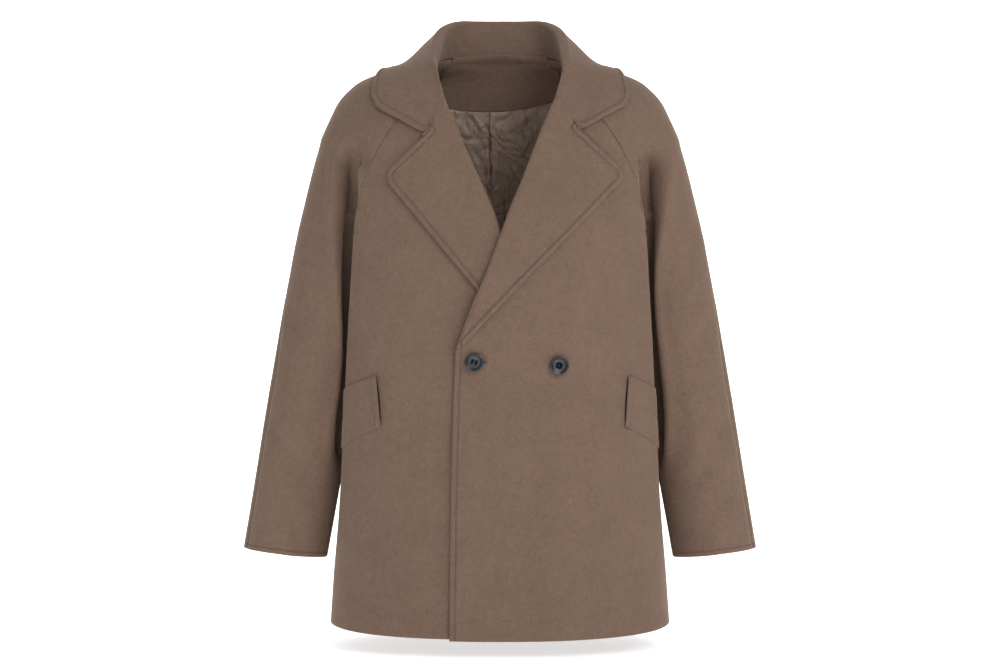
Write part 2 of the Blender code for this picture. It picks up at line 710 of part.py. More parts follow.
def laid(tree, point, normal, out):
    """The point moved along the normal until it is this far outside the cloth."""
    hit = landing(tree, point, normal)
    return point + normal * out if hit is None else hit + normal * out


def laid_on_front(tree, x, z, out):
    share = FRONT.share_at(x, z)
    return laid(tree, FRONT.read(FRONT.body, share, z), FRONT.normal(share, z), out)


def single(sheet, thickness, color, roughness=0.9):
    return wall(sheet, shared_normals([sheet], {})[0], thickness, color, roughness)


def round_fold(start, out, up, roll, radius):
    """From the seam up and round a fold: its first point, then the points of the turn."""
    centre = roll - up * radius
    turn = np.linspace(0, pi, FOLD_POINTS)
    return [start] + [centre + radius * (sin(a) * up - cos(a) * out) for a in turn]


def fold_walls(count, rows):
    """Thickness from the seam (one layer) over the fold to the two pressed layers."""
    across = np.concatenate((np.linspace(0.0028, 0.0034, FOLD_POINTS + 1),
                             np.full(count - FOLD_POINTS - 1, FOLDED_CLOTH)))
    return np.tile(across, rows)


# ---- lapels ---------------------------------------------------------------------------
def outline_of(lapel):
    """The lapel's outline from the notch round the point to the break, as (x, z)."""
    notch, point, hollow, end = (np.array(lapel[k])
                                 for k in ("notch", "point", "hollow", "break"))
    before = point + unit(notch - point) * lapel["round"]
    after = point + unit(hollow - point) * lapel["round"]
    t = np.linspace(0, 1, 7)[:, None]
    corner = (1 - t)**2 * before + 2 * (1 - t) * t * point + t**2 * after
    bend = hollow + (unit(point - hollow) + unit(end - hollow)) * 0.006
    lower = bezier(hollow + unit(point - hollow) * 0.05, bend, bend, end, 9)
    return resample(np.vstack((notch, corner, lower)), 200)


def lapel(name, side, panel, tree):
    sheet = Sheet(name)
    edge = np.array([row[0] for row in panel.rows])
    outline = outline_of(LAPELS[side])
    top, end = GORGE[1], LAPEL_END[side]
    rows = []
    for along, share in zip(LAPEL_ROWS["along"], LAPEL_ROWS["outline"]):
        z = top + (end - top) * along
        seam = np.array([np.interp(z, edge[:, 2], edge[:, k]) for k in range(3)])
        ahead = np.array([np.interp(z + 0.01, edge[:, 2], edge[:, k]) for k in range(3)])
        out = FRONT.normal(FRONT.share_at(seam[0], z), z)
        up = unit(np.cross(out, ahead - seam))
        up = up if up[0] < 0 else -up
        radius = ROLL_RADIUS
        if side == "right":
            radius += (PRESSED_RADIUS - ROLL_RADIUS) * float(ease(-z, 0.18, 0.235))
        roll = seam + up * ROLL_TURN + out * (radius - WALL)
        line = round_fold(seam - out * WALL + up * SEAM * 2.5, out, up, roll, radius)
        goal = outline[int(round(share * (len(outline) - 1)))]
        high = 2 * radius - WALL
        low = FOLDED_CLOTH + LYING
        length = np.hypot(*(goal - seam[[0, 2]]))
        for t in np.linspace(0, 1, LAPEL_POINTS + 1)[1:]:
            x, level = seam[[0, 2]] + (goal - seam[[0, 2]]) * t
            rise = (high - low) * (1 - float(ease(t * length, 0.0, 0.035)))
            line.append(laid_on_front(tree, x, level, low + rise))
        rows.append(np.array(line))
    sheet.grid(rows)
    across = len(rows[0]) - 1
    sheet.turn_to(7 * across + across - 1, (0, -1, 0))
    return sheet


# ---- collar ---------------------------------------------------------------------------
def neck_seam(back, front):
    """The line on which the collar is sewn, from centre back round to the gorge."""
    middle = len(back.rows[-1]) // 2
    edge = np.array([row[0] for row in front.rows])[::-1]
    roll = edge[edge[:, 2] > GORGE[1]]
    last = [[np.interp(GORGE[1], edge[::-1, 2], edge[::-1, k]) for k in range(3)]]
    parts = (back.rows[-1][middle:], cap_rows(BACK)[0], cap_rows(FRONT)[0][::-1],
             front.rows[-1][::-1], roll, last)
    return resample(np.vstack(parts), 240)


def collar_station(share, line, tree, side):
    """One cross line of the collar: seam, stand, roll and fall to the outer edge."""
    n = int(round(share * (len(line) - 1)))
    seam = line[n]
    near = [tree.find_nearest(Vector(line[k]))[1]
            for k in range(max(n - 8, 0), min(n + 9, len(line)))]
    normal = unit(np.mean([np.array(v) for v in near], axis=0))
    ahead = unit(line[min(n + 6, len(line) - 1)] - line[max(n - 6, 0)])
    if n == 0:
        normal[0] = 0.0
        ahead = np.array((1.0, 0.0, 0.0))
    inward = unit(np.cross(ahead, normal))
    inward = inward if np.dot(inward, (-seam[0], 0.01, 0.02)) > 0 else -inward
    corner, notch = (np.array(COLLAR_FRONT[side][k]) for k in ("corner", "notch"))
    foot_in = COLLAR_FOOT[0] + (COLLAR_FOOT[1] - COLLAR_FOOT[0]) * float(ease(share, 0.6, 0.8))
    last = COLLAR["along"][-1]
    inside = min(share, last)
    roll = np.array([float(smooth_at(COLLAR, "roll_" + k, inside)) for k in "xyz"])
    edge = np.array([float(smooth_at(COLLAR, "edge_" + k, inside)) for k in "xyz"])
    low = FOLDED_CLOTH + LYING
    radius = COLLAR_RADIUS
    if share > last:
        blend = (share - last) / (1 - last)
        radius += (ROLL_RADIUS - COLLAR_RADIUS) * blend
        gorge_roll = seam + inward * ROLL_TURN + normal * (ROLL_RADIUS - WALL)
        corner_point = laid_on_front(tree, corner[0], corner[1], low)
        roll = roll * (1 - blend) + gorge_roll * blend
        edge = edge * (1 - blend) + corner_point * blend
    out = normal
    for _ in range(6):
        foot = seam - normal * WALL * max(np.dot(out, normal), 0.0)
        foot = foot + inward * (foot_in + WALL * max(-np.dot(out, inward), 0.0))
        up = unit(roll - foot - out * radius)
        side_on = unit(np.cross(ahead, up))
        out = side_on if np.dot(side_on, normal) > 0 else -side_on
    points = round_fold(foot, out, up, roll, radius)
    start = points[-1]
    for t in np.linspace(0, 1, FALL_POINTS + 1)[1:]:
        straight = start + (edge - start) * t
        bend = float(ease(share, last - 0.06, 1.0))
        if bend > 0:
            x, z = (notch * min(2 * t, 1) + seam[[0, 2]] * (1 - min(2 * t, 1)) if t < 0.5
                    else notch + (corner - notch) * (2 * t - 1))
            straight = straight * (1 - bend) + laid_on_front(tree, x, z, low) * bend
        points.append(straight)
    return np.array(points)


def settle(rows, first, tree):
    """Lets the fall of the collar down on to the shoulders, most of all at its edge."""
    grid = np.array(rows)
    low = FOLDED_CLOTH + LYING
    count = grid.shape[1] - 1 - first
    for i in range(grid.shape[0]):
        for j in range(first + 1, grid.shape[1]):
            foot, normal = (np.array(v) for v in tree.find_nearest(Vector(grid[i, j]))[:2])
            away = grid[i, j] - foot
            height = np.linalg.norm(away) * (1 if np.dot(away, normal) > 0 else -1)
            direction = away / height if abs(height) > 0.002 else normal
            close = float(ease((j - first) / count, 0.2, 1.0))
            grid[i, j] = foot + direction * max(low, height * (1 - close) + low * close)
    return grid


def clear(sheet, thickness, tree, gap, first):
    """Moves points out until the inner side is a gap away from the cloth below."""
    width = len(sheet.rows[0])
    free = [n % width >= first for n in range(len(sheet.points))]
    for _ in range(8):
        points = np.array(sheet.points)
        inner = points - shared_normals([sheet], {})[0] * np.reshape(thickness, (-1, 1))
        spots = [([n], inner[n]) for n in range(len(points)) if free[n]]
        for face in sheet.faces:
            if all(free[n] for n in face):
                spots.append((face, inner[face].mean(axis=0)))
                spots += [([m, n], (inner[m] + inner[n]) / 2) for m, n in zip(face, face[1:])]
        push = {}
        for users, spot in spots:
            foot, normal = (np.array(v) for v in tree.find_nearest(Vector(spot))[:2])
            lack = gap - float(np.dot(spot - foot, normal))
            if 0 < lack < 0.02:
                for n in users:
                    if np.linalg.norm(push.get(n, np.zeros(3))) < lack:
                        push[n] = normal * lack
        for n, move in push.items():
            sheet.points[n] = points[n] + move
        if not push:
            break
    return sheet


def collar(back, panels, trees):
    halves = []
    for side in ("left", "right"):
        line = neck_seam(back, panels[side])
        turn = np.linalg.norm(line - panels[side].rows[-1][0], axis=1).argmin() / (len(line) - 1)
        shares = np.concatenate((np.linspace(0, turn, COLLAR_STATIONS - 2),
                                 ((1 + turn) / 2, 1.0)))
        rows = [collar_station(s, line, trees[side], side) for s in shares]
        halves.append(settle(rows, FOLD_POINTS, trees[side]))
    sheet = Sheet("collar")
    right = halves[1][:0:-1] * (-1, 1, 1)
    sheet.grid(list(right) + list(halves[0]))
    middle = (COLLAR_STATIONS - 1) * (len(halves[0][0]) - 1)
    sheet.turn_to(middle + len(halves[0][0]) - 2, (0, 1, 0))
    return sheet


# ---- inside the back ------------------------------------------------------------------
def inside_back(tree, x, z, gap):
    """A point inside the back panel, a gap away from its inner face."""
    share = BACK.share_at(x, z)
    return laid(tree, BACK.read(BACK.body, share, z), BACK.normal(share, z), -WALL - gap)


def facing_low(x):
    x = np.clip(x, -0.09, 0.09)
    return FACING_LOW[0] + FACING_LOW[1] * x + FACING_LOW[2] * x * x


def neck_facing(tree):
    sheet = Sheet("neck_facing")
    rows = []
    for up in np.linspace(0, 1, 5):
        half = FACING_WIDTH[0] + (FACING_WIDTH[1] - FACING_WIDTH[0]) * up
        row = []
        for x in np.linspace(-half, half, 13):
            top = 0.0192 - 0.0100 * (x / BACK_SEAM["x"][-1]) ** 2
            low = float(facing_low(x))
            row.append(inside_back(tree, x, low + (top - low) * up, CLEARANCE))
        rows.append(np.array(row))
    sheet.grid(rows)
    sheet.turn_to(0, (0, 1, 0))
    return sheet


def lining_back(tree):
    """The lining of the back, with a pleat down its middle that opens out lower down."""
    sheet = Sheet("lining_back")
    side = np.array((0.045, 0.085, 0.118, 0.148))
    across = np.concatenate((-side[::-1], PLEAT["x"], side))
    rows = []
    for n, z in enumerate(LINING_ROWS):
        half = float(smooth_at(LINING_HALF, "x", z))
        row = []
        for x in across:
            wide = abs(x) > side[0] - 1e-6
            x = x * half / side[-1] if wide else x
            level = float(facing_low(x)) if n == 0 else z
            rise = float(np.interp(x, PLEAT["x"], PLEAT["rise"])) * float(ease(z, PLEAT_END, -0.26))
            row.append(inside_back(tree, x, level, LYING + rise))
        rows.append(np.array(row))
    sheet.grid(rows)
    sheet.turn_to(0, (0, 1, 0))
    return sheet


# ---- pocket flaps and buttons -----------------------------------------------------------
def flap(name, tree):
    sheet = Sheet(name)
    level = (FLAP["top"][1] + FLAP["bottom"][1]) / 2
    shares = np.linspace(0, 1, 200)
    section = FRONT.read(FRONT.body, shares, level)
    steps = np.linalg.norm(np.diff(section, axis=0), axis=1)
    along = np.concatenate(((0.0,), np.cumsum(steps)))
    fold = float(np.interp(FRONT.fold_share(level), shares, along))
    begin = float(np.interp(FRONT.share_at(FLAP["front_x"][0], level), shares, along))
    past = np.concatenate((np.linspace(begin, fold, 7), fold + np.linspace(0, FLAP_WRAP, 11)[1:]))
    rows = []
    for down in np.linspace(0, 1, 5):
        row = []
        for n, place in enumerate(past):
            slope = (place - begin) / (fold - begin)
            top, bottom = (FLAP[k][0] + (FLAP[k][1] - FLAP[k][0]) * slope for k in ("top", "bottom"))
            z = top + (bottom - top) * down
            share = float(np.interp(place, along, shares))
            lean = (FLAP["front_x"][1] - FLAP["front_x"][0]) * down * max(1 - slope, 0)
            share += lean / along[-1] * 0.9
            normal = FRONT.normal(share, z)
            point = FRONT.read(FRONT.body, share, z)
            row.append(laid(tree, point, normal, FLAP_WALL + CLEARANCE))
        rows.append(np.array(row))
    sheet.grid(rows)
    sheet.turn_to(0, (0, -1, 0))
    return sheet


def button(name, side, tree):
    """A turned disc, seated on the left front."""
    x, z = BUTTONS[side]
    share = FRONT.share_at(x, z)
    axis = FRONT.normal(share, z)
    seat = laid_on_front(tree, x, z, 0.0)
    across = unit(np.cross(axis, (0, 0, 1)))
    up = np.cross(axis, across)
    rise = 0.0
    for k in range(BUTTON_SIDES):
        angle = 2 * pi * k / BUTTON_SIDES
        for radius in (BUTTON_PROFILE[0][0], BUTTON_PROFILE[1][0]):
            rim = seat + radius * (across * cos(angle) + up * sin(angle))
            rise = max(rise, float(np.dot(landing(tree, rim, axis) - rim, axis)))
    seat = seat + axis * (rise + SEAM * 2)
    points = [seat]
    for radius, height in BUTTON_PROFILE:
        for k in range(BUTTON_SIDES):
            angle = 2 * pi * k / BUTTON_SIDES
            points.append(seat + axis * height + radius * (across * cos(angle) + up * sin(angle)))
    points.append(seat + axis * BUTTON_PROFILE[-1][1])
    faces = []
    last = len(points) - 1
    rings = len(BUTTON_PROFILE)
    for k in range(BUTTON_SIDES):
        after = (k + 1) % BUTTON_SIDES
        faces.append([0, 1 + after, 1 + k])
        for ring in range(rings - 1):
            low, high = 1 + ring * BUTTON_SIDES, 1 + (ring + 1) * BUTTON_SIDES
            faces.append([low + k, low + after, high + after, high + k])
        top = 1 + (rings - 1) * BUTTON_SIDES
        faces.append([top + k, top + after, last])
    return solid(name, np.array(points), faces, HORN, 0.3)


def main():
    for old in list(bpy.data.objects):
        bpy.data.objects.remove(old, do_unlink=True)
    front_left = front_panel("front_left", over=True)
    under = front_panel("front_right", over=False)
    front_right = under.mirrored("front_right")
    back = back_panel()
    front_half = sleeve_half("sleeve_left_front", FRONT)
    back_half = sleeve_half("sleeve_left_back", BACK)
    sheets = [front_left, front_right, back, front_half, back_half,
              front_half.mirrored("sleeve_right_front"), back_half.mirrored("sleeve_right_back")]
    normals = shared_normals(sheets, armpit_normals())
    cleft = cleft_line()
    for sheet, n in zip(sheets, normals):
        wall(sheet, n, cloth_thickness(sheet, cleft), WOOL)
    panels = {"left": front_left, "right": under}
    trees = {side: tree_of([panels[side], back, front_half, back_half]) for side in panels}
    across = 1 + FOLD_POINTS
    thickness = fold_walls(across + LAPEL_POINTS, len(LAPEL_ROWS["along"]))
    left = lapel("lapel_left", "left", front_left, trees["left"])
    single(clear(left, thickness, trees["left"], CLEARANCE, across), thickness, WOOL)
    right = lapel("lapel_right", "right", under, trees["right"])
    right = clear(right, thickness, trees["right"], CLEARANCE, across).mirrored("lapel_right")
    single(right, thickness, WOOL)
    round_neck = collar(back, panels, trees)
    thickness = fold_walls(across + FALL_POINTS, len(round_neck.rows)) * COLLAR_SHARE
    both = tree_of(sheets)
    single(clear(round_neck, thickness, both, COLLAR_CLEARANCE, across), thickness, WOOL)
    inside = tree_of([back])
    single(neck_facing(inside), FACING_WALL, WOOL)
    single(lining_back(inside), LINING_WALL, SATIN, 0.5)
    for side in ("left", "right"):
        front = tree_of([panels[side]])
        sheet = clear(flap("flap_" + side, front), FLAP_WALL, front, FLAP_CLEARANCE, 0)
        sheet = sheet if side == "left" else sheet.mirrored("flap_right")
        single(sheet, FLAP_WALL, WOOL)
        button("button_" + side, side, tree_of([front_left]))


main()
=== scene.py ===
"""The pea coat's looks: napped wool cloth, seams and stitching, satin lining, buttons.

Metres, +Z up, the coat faces -Y and +X is the wearer's left. Every cloth piece is a thin
shell on the form of its solid, which is given by sections of the body and of the arms.
"""
from math import atan2, cos, pi, radians, sin

import bmesh
import bpy
import numpy as np
from mathutils import Matrix, Vector, noise
from mathutils.bvhtree import BVHTree


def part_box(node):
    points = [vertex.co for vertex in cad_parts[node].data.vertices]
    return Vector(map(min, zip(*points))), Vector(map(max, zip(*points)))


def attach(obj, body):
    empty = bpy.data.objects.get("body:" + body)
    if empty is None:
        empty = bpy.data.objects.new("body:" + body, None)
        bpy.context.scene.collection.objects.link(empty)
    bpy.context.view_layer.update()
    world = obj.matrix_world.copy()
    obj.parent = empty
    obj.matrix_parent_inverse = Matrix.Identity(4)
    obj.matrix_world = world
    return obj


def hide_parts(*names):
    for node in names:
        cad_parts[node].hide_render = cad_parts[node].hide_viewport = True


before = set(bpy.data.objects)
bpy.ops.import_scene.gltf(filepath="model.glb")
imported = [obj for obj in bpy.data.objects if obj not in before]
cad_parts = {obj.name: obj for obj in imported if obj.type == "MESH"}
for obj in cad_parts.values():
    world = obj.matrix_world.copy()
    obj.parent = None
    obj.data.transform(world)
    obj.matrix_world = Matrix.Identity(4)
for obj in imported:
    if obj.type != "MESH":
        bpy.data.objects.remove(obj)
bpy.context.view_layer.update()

# ---- camera ----
CAMERA_PLACE = (0.0057, -3.2, -0.39)
LENS = 80.5


def camera():
    data = bpy.data.cameras.new("camera")
    data.lens = LENS
    data.sensor_width = 36.0
    data.clip_end = 40.0
    piece = bpy.data.objects.new("camera", data)
    piece.location = CAMERA_PLACE
    piece.rotation_euler = (radians(90), 0, 0)
    bpy.context.scene.collection.objects.link(piece)
    bpy.context.scene.camera = piece


camera()

MIRROR = (-1, 1, 1)       # turns a left point into a right one
# ---- driving sizes ----
WALL = 0.003              # coating cloth with its backing
FOLDED_CLOTH = 0.004      # collar and lapels, two layers pressed together
LINING_WALL = 0.001
FACING_WALL = 0.002
SEAM = 0.00006            # each piece stops this far short of its seam
CLEARANCE = 0.0006        # between pieces that are sewn flat on each other
COLLAR_CLEARANCE = 0.0013
LYING = 0.0013            # under the collar and lapels, which only lie there
HEM_SIDE = -0.789
HEM_DROP = 0.012          # the hem hangs this much lower at the front
LAP_DROP = 0.0145         # and the front that laps over hangs this much lower
LAP_OUT = 0.0050          # it stands off by this, over the cloth of the other front
LAPEL_OUT = 0.0064        # and by this much more over the other's lapel
LAP_FADE = (0.085, 0.155)  # x between which it comes back to the body
ARMPIT = -0.247
CAP_TOP = -0.075          # above this the shoulder is one round form
CLEFT_START = -0.125      # the cleft beside the arm is open below this
CAP_END = -0.150          # below this the arm stands apart from the body by a fold
FOLD_ROUND = 0.018        # softness of the fold in front of the arm
CLEFT_MOUTH = 0.026       # width of the cleft where it opens to the front
SQUARENESS = 2.6          # of the body's sections; 2 would be an ellipse
CLEFT_SLOPE = 0.4         # how quickly the cleft closes above the armpit
ARM_FLATNESS = 1.25       # of the arm's side that faces the body
THIN_SHARE = 0.34         # share of the wall that is left where the cleft turns
GUSSET_SHARE = 0.965      # the raglan seam keeps this side of the cleft above the armpit
FRONT_NECK = -0.037       # where the front ends under the collar

# ---- form: body sections (z, half width, front and back depth) ----
BODY = {
    "z":     (-0.810, -0.620, -0.500, -0.400, -0.300, -0.247, -0.200, -0.150,
              -0.110, -0.080, -0.050, -0.030, -0.014, -0.004, 0.002, 0.008, 0.021),
    "half":  (0.2425, 0.230, 0.2285, 0.227, 0.226, 0.226, 0.226, 0.227,
              0.229, 0.232, 0.224, 0.203, 0.165, 0.125, 0.090, 0.084, 0.010),
    "front": (0.161, 0.147, 0.141, 0.137, 0.134, 0.131, 0.126, 0.117,
              0.106, 0.094, 0.074, 0.056, 0.041, 0.034, 0.030, 0.028, 0.025),
    "back":  (0.150, 0.135, 0.128, 0.122, 0.119, 0.118, 0.119, 0.120,
              0.119, 0.117, 0.114, 0.110, 0.105, 0.100, 0.097, 0.094, 0.085),
}
# ---- form: arm sections (z, outer and inner x, front and back depth) ----
ARM = {
    "z":     (-0.720, -0.620, -0.500, -0.400, -0.300, -0.247, -0.200, -0.150, -0.110, -0.075),
    "outer": (0.3700, 0.3530, 0.3340, 0.3170, 0.2995, 0.2890, 0.2780, 0.2655, 0.2550, 0.2410),
    "inner": (0.2470, 0.2290, 0.2065, 0.1870, 0.1690, 0.1610, 0.1520, 0.1450, 0.1400, 0.1300),
    "front": (0.0460, 0.0510, 0.0550, 0.0580, 0.0590, 0.0590, 0.0600, 0.0620, 0.0650, 0.0700),
    "back":  (0.0500, 0.0580, 0.0660, 0.0710, 0.0740, 0.0750, 0.0760, 0.0770, 0.0790, 0.0820),
}
ARM_MIDDLE = 0.006
# ---- form: ridge of the shoulder and arm, down from the neck ----
RIDGE = {
    "z": (0.002, -0.005, -0.0145, -0.0265, -0.041, -0.055, -0.083, -0.112),
    "x": (0.088, 0.125, 0.165, 0.197, 0.216, 0.229, 0.243, 0.2555),
}
RIDGE_MIDDLE = 0.012
# ---- raglan seams: x where the seam crosses each height ----
FRONT_SEAM = {
    "z": (-0.215, -0.177, -0.148, -0.122, -0.0925, -0.065, -0.037),
    "x": (0.198, 0.191, 0.178, 0.164, 0.144, 0.121, 0.098),
}
BACK_SEAM = {
    "z": (-0.210, -0.160, -0.110, -0.060, -0.020, 0.011),
    "x": (0.190, 0.178, 0.158, 0.130, 0.101, 0.074),
}
# ---- roll lines of the lapels: x at each height, over and under the lap ----
ROLL = {
    "z":     (-0.409, -0.356, -0.307, -0.245, -0.222, -0.191, -0.160, -0.134,
              -0.111, -0.083, -0.055, -0.037),
    "over":  (-0.0595, -0.0405, -0.020, 0.003, 0.0112, 0.024, 0.036, 0.0455,
              0.0545, 0.0665, 0.078, 0.0835),
    "under": (-0.060, -0.041, -0.022, -0.001, 0.0066, 0.0202, 0.034, 0.0455,
              0.0548, 0.0675, 0.078, 0.0835),
}
FRONT_EDGE = {"z": (-0.810, -0.612, -0.504, -0.450, -0.409),
              "x": (-0.0677, -0.0661, -0.0636, -0.0617, -0.0595)}
# ---- lapels: corners as (x, z) on the front ----
LAPELS = {
    "left":  {"notch": (0.1055, -0.1040), "point": (0.1745, -0.168),
              "hollow": (0.012, -0.338), "break": (-0.0540, -0.4085), "round": 0.019},
    "right": {"notch": (0.0965, -0.1085), "point": (0.160, -0.170),
              "hollow": (0.012, -0.351), "break": (-0.0500, -0.4060), "round": 0.018},
}
GORGE = (0.076, -0.066)   # where collar and lapel meet on the roll line
# ---- collar: roll and outer edge, by the share along the neck seam from centre back ----
COLLAR = {
    "along":  (0.000, 0.200, 0.365, 0.540, 0.720, 0.867),
    "roll_x": (0.0000, 0.0420, 0.0680, 0.0860, 0.0905, 0.0870),
    "roll_y": (0.0960, 0.0920, 0.0700, 0.0300, -0.0150, -0.0520),
    "roll_z": (0.0700, 0.0700, 0.0650, 0.0460, 0.0140, -0.0200),
    "edge_x": (0.0000, 0.0650, 0.1220, 0.1590, 0.1680, 0.1750),
    "edge_y": (0.1290, 0.1230, 0.0900, 0.0400, 0.0000, -0.0400),
    "edge_z": (-0.0350, -0.0360, -0.0310, -0.0120, -0.0200, -0.0480),
}
COLLAR_FRONT = {"left": {"corner": (0.1800, -0.0680), "notch": (0.1130, -0.1060)},
                "right": {"corner": (0.1765, -0.0700), "notch": (0.1045, -0.1110)}}
ROLL_RADIUS = 0.0052      # outer radius of the lapels' folds
COLLAR_RADIUS = 0.0070
PRESSED_RADIUS = 0.0041   # where the right lapel's fold is pressed under the left front
COLLAR_SHARE = 0.80       # the collar's thickness, of the lapels'
COLLAR_FOOT = (0.0006, 0.0017)  # the stand's foot lies this far inside its seam, back and front
ROLL_TURN = 0.0076        # the fronts stop this far inside the roll line
# ---- lapel rows: share along the roll line, and along the outline from the notch ----
LAPEL_ROWS = {
    "along":   (0.00, 0.11, 0.16, 0.20, 0.235, 0.28, 0.35, 0.43,
                0.52, 0.61, 0.70, 0.79, 0.89, 1.00),
    "outline": (0.00, 0.06, 0.13, 0.19, 0.225, 0.26, 0.33, 0.42,
                0.51, 0.60, 0.69, 0.79, 0.89, 0.97),
}
LAPEL_BREAK = -0.411      # the fold of the lapels has run out here
LAPEL_END = -0.4085
BREAK_WALL = 0.0010       # the lapel's cloth at the break, pressed thin
BREAK_FADE = 0.045        # height over which it gets its full thickness
ROLL_SPREAD = 0.035       # the lapels and the collar's front lie flat this far from their roll
# ---- pocket flaps: heights of top and bottom, each at the front edge and at the side,
# and x of the front edge at its top and its bottom, for each side
FLAP = {"top": (-0.4446, -0.4660), "bottom": (-0.5140, -0.5450),
        "left": (0.1748, 0.1702), "right": (0.1682, 0.1612)}
FLAP_OUT = 0.0016         # the flap's outer face over the front, where it is sewn
FLAP_STEP = 0.0030        # its front edge stands out this much more
FLAP_WALL = 0.0026
FLAP_WRAP = 0.062         # the flap goes on round the side this far past the fold
BUTTONS = {"left": (0.0795, -0.4305), "right": (-0.0345, -0.4260)}
# ---- inside the back: facing under the neck, and lining below it ----
FACING_WIDTH = (0.098, 0.081)     # half width at its lower and its upper edge
FACING_LOW = (-0.0605, 0.06, 1.6)  # height of the lower edge: middle, slope, bend
LINING_HALF = {"z": (-0.770, -0.160, -0.110, -0.060), "x": (0.148, 0.145, 0.138, 0.105)}
PLEAT = {"x": (-0.0200, -0.0150, -0.0135, -0.0060, 0.0010, 0.0060),
         "rise": (0.0, 0.0010, 0.0045, 0.0040, 0.0012, 0.0)}
PLEAT_END = -0.420
# ---- how fine the grids are ----
SAMPLES = 81
LEVELS = 150
BODY_ROWS = 110
CAP_ROWS = 60
CAP_SPREAD = 1.45         # rows lie closer towards the armpit
ARM_ROWS = 84
FRONT_COLUMNS = 46
BACK_COLUMNS = 36
SIDE_COLUMNS = 20
GUSSET_COLUMNS = 14
ARM_COLUMNS = 36
FOLD_POINTS = 11
COLLAR_STATIONS = 96
FALL_POINTS = 36
LAPEL_POINTS = 38
LAPEL_LINES = 132
FLAP_ROWS = 30


def smooth_at(table, column, where):
    """Reads a table by its first column, with a smooth curve through the rows."""
    z = np.asarray(table[next(iter(table))], float)
    v = np.asarray(table[column], float)
    if z[0] > z[-1]:
        z, v = z[::-1], v[::-1]
    slope = np.diff(v) / np.diff(z)
    tangent = np.concatenate((slope[:1], (slope[:-1] + slope[1:]) / 2, slope[-1:]))
    flat = np.concatenate(((False,), slope[:-1] * slope[1:] <= 0, (False,)))
    tangent[flat] = 0.0
    where = np.clip(np.asarray(where, float), z[0], z[-1])
    i = np.clip(np.searchsorted(z, where) - 1, 0, len(z) - 2)
    h = z[i + 1] - z[i]
    t = (where - z[i]) / h
    return ((2 * t**3 - 3 * t**2 + 1) * v[i] + (t**3 - 2 * t**2 + t) * h * tangent[i]
            + (3 * t**2 - 2 * t**3) * v[i + 1] + (t**3 - t**2) * h * tangent[i + 1])


def ease(value, start, end):
    t = np.clip((value - start) / (end - start), 0.0, 1.0)
    return t * t * (3 - 2 * t)


def resample(points, count):
    """The same curve with evenly spaced points."""
    points = np.asarray(points, float)
    steps = np.linalg.norm(np.diff(points, axis=0), axis=1)
    along = np.concatenate(((0.0,), np.cumsum(steps)))
    wanted = np.linspace(0.0, along[-1], count)
    return np.stack([np.interp(wanted, along, points[:, k])
                     for k in range(points.shape[1])], axis=1)


def evened(values, window):
    """Each value averaged with its neighbours, the ends kept."""
    padded = np.pad(values, window // 2, mode="edge")
    return np.convolve(padded, np.ones(window) / window, mode="valid")


def soft_min(a, b, radius):
    h = np.clip(0.5 + 0.5 * (b - a) / radius, 0.0, 1.0)
    return b * (1 - h) + a * h - radius * h * (1 - h)


def side_gap(z):
    """Clear width between the side of the body and the sleeve."""
    return 0.0005 + 0.0055 * ease(-z, 0.235, 0.31) - 0.004 * ease(-z, 0.54, 0.62)


def shoulder_section(z, facing):
    """Upper sections, (body part, arm part): one round form from centre to ridge."""
    column = "front" if facing < 0 else "back"
    if z > RIDGE["z"][0]:
        rise = min((z - RIDGE["z"][0]) / 0.019, 1.0)
        half = 0.088 * (1 - rise**2) ** 0.5 + 1e-4
        middle = RIDGE_MIDDLE + 0.073 * (1 - (half / 0.0885) ** 2) ** 0.5
    else:
        half = float(smooth_at(RIDGE, "x", z))
        middle = RIDGE_MIDDLE
    depth = float(smooth_at(BODY, column, z)) - facing * middle
    angle = np.linspace(0, pi / 2, 400)
    power = 2 / 2.4
    x = half * np.sin(angle) ** power
    y = middle + facing * max(depth, 1e-4) * np.abs(np.cos(angle)) ** power
    curve = np.stack((x, y), axis=1)
    split = int(np.searchsorted(x, 0.86 * half))
    return curve[:split + 1], curve[split:]


def arm_section(middle, reach, depth, angle):
    """Point of an arm section; the quarters beside the body are pressed flatter."""
    power = ARM_FLATNESS if angle > pi / 2 else 1.0
    across = abs(cos(angle)) ** power * (1 if angle < pi / 2 else -1)
    return middle + reach * across, depth * abs(sin(angle)) ** power


def arm_sizes(z, column):
    """Middle, half width and depth of the arm's section at a height."""
    outer, inner, depth = (float(smooth_at(ARM, c, z)) for c in ("outer", "inner", column))
    return (outer + inner) / 2, (outer - inner) / 2, depth


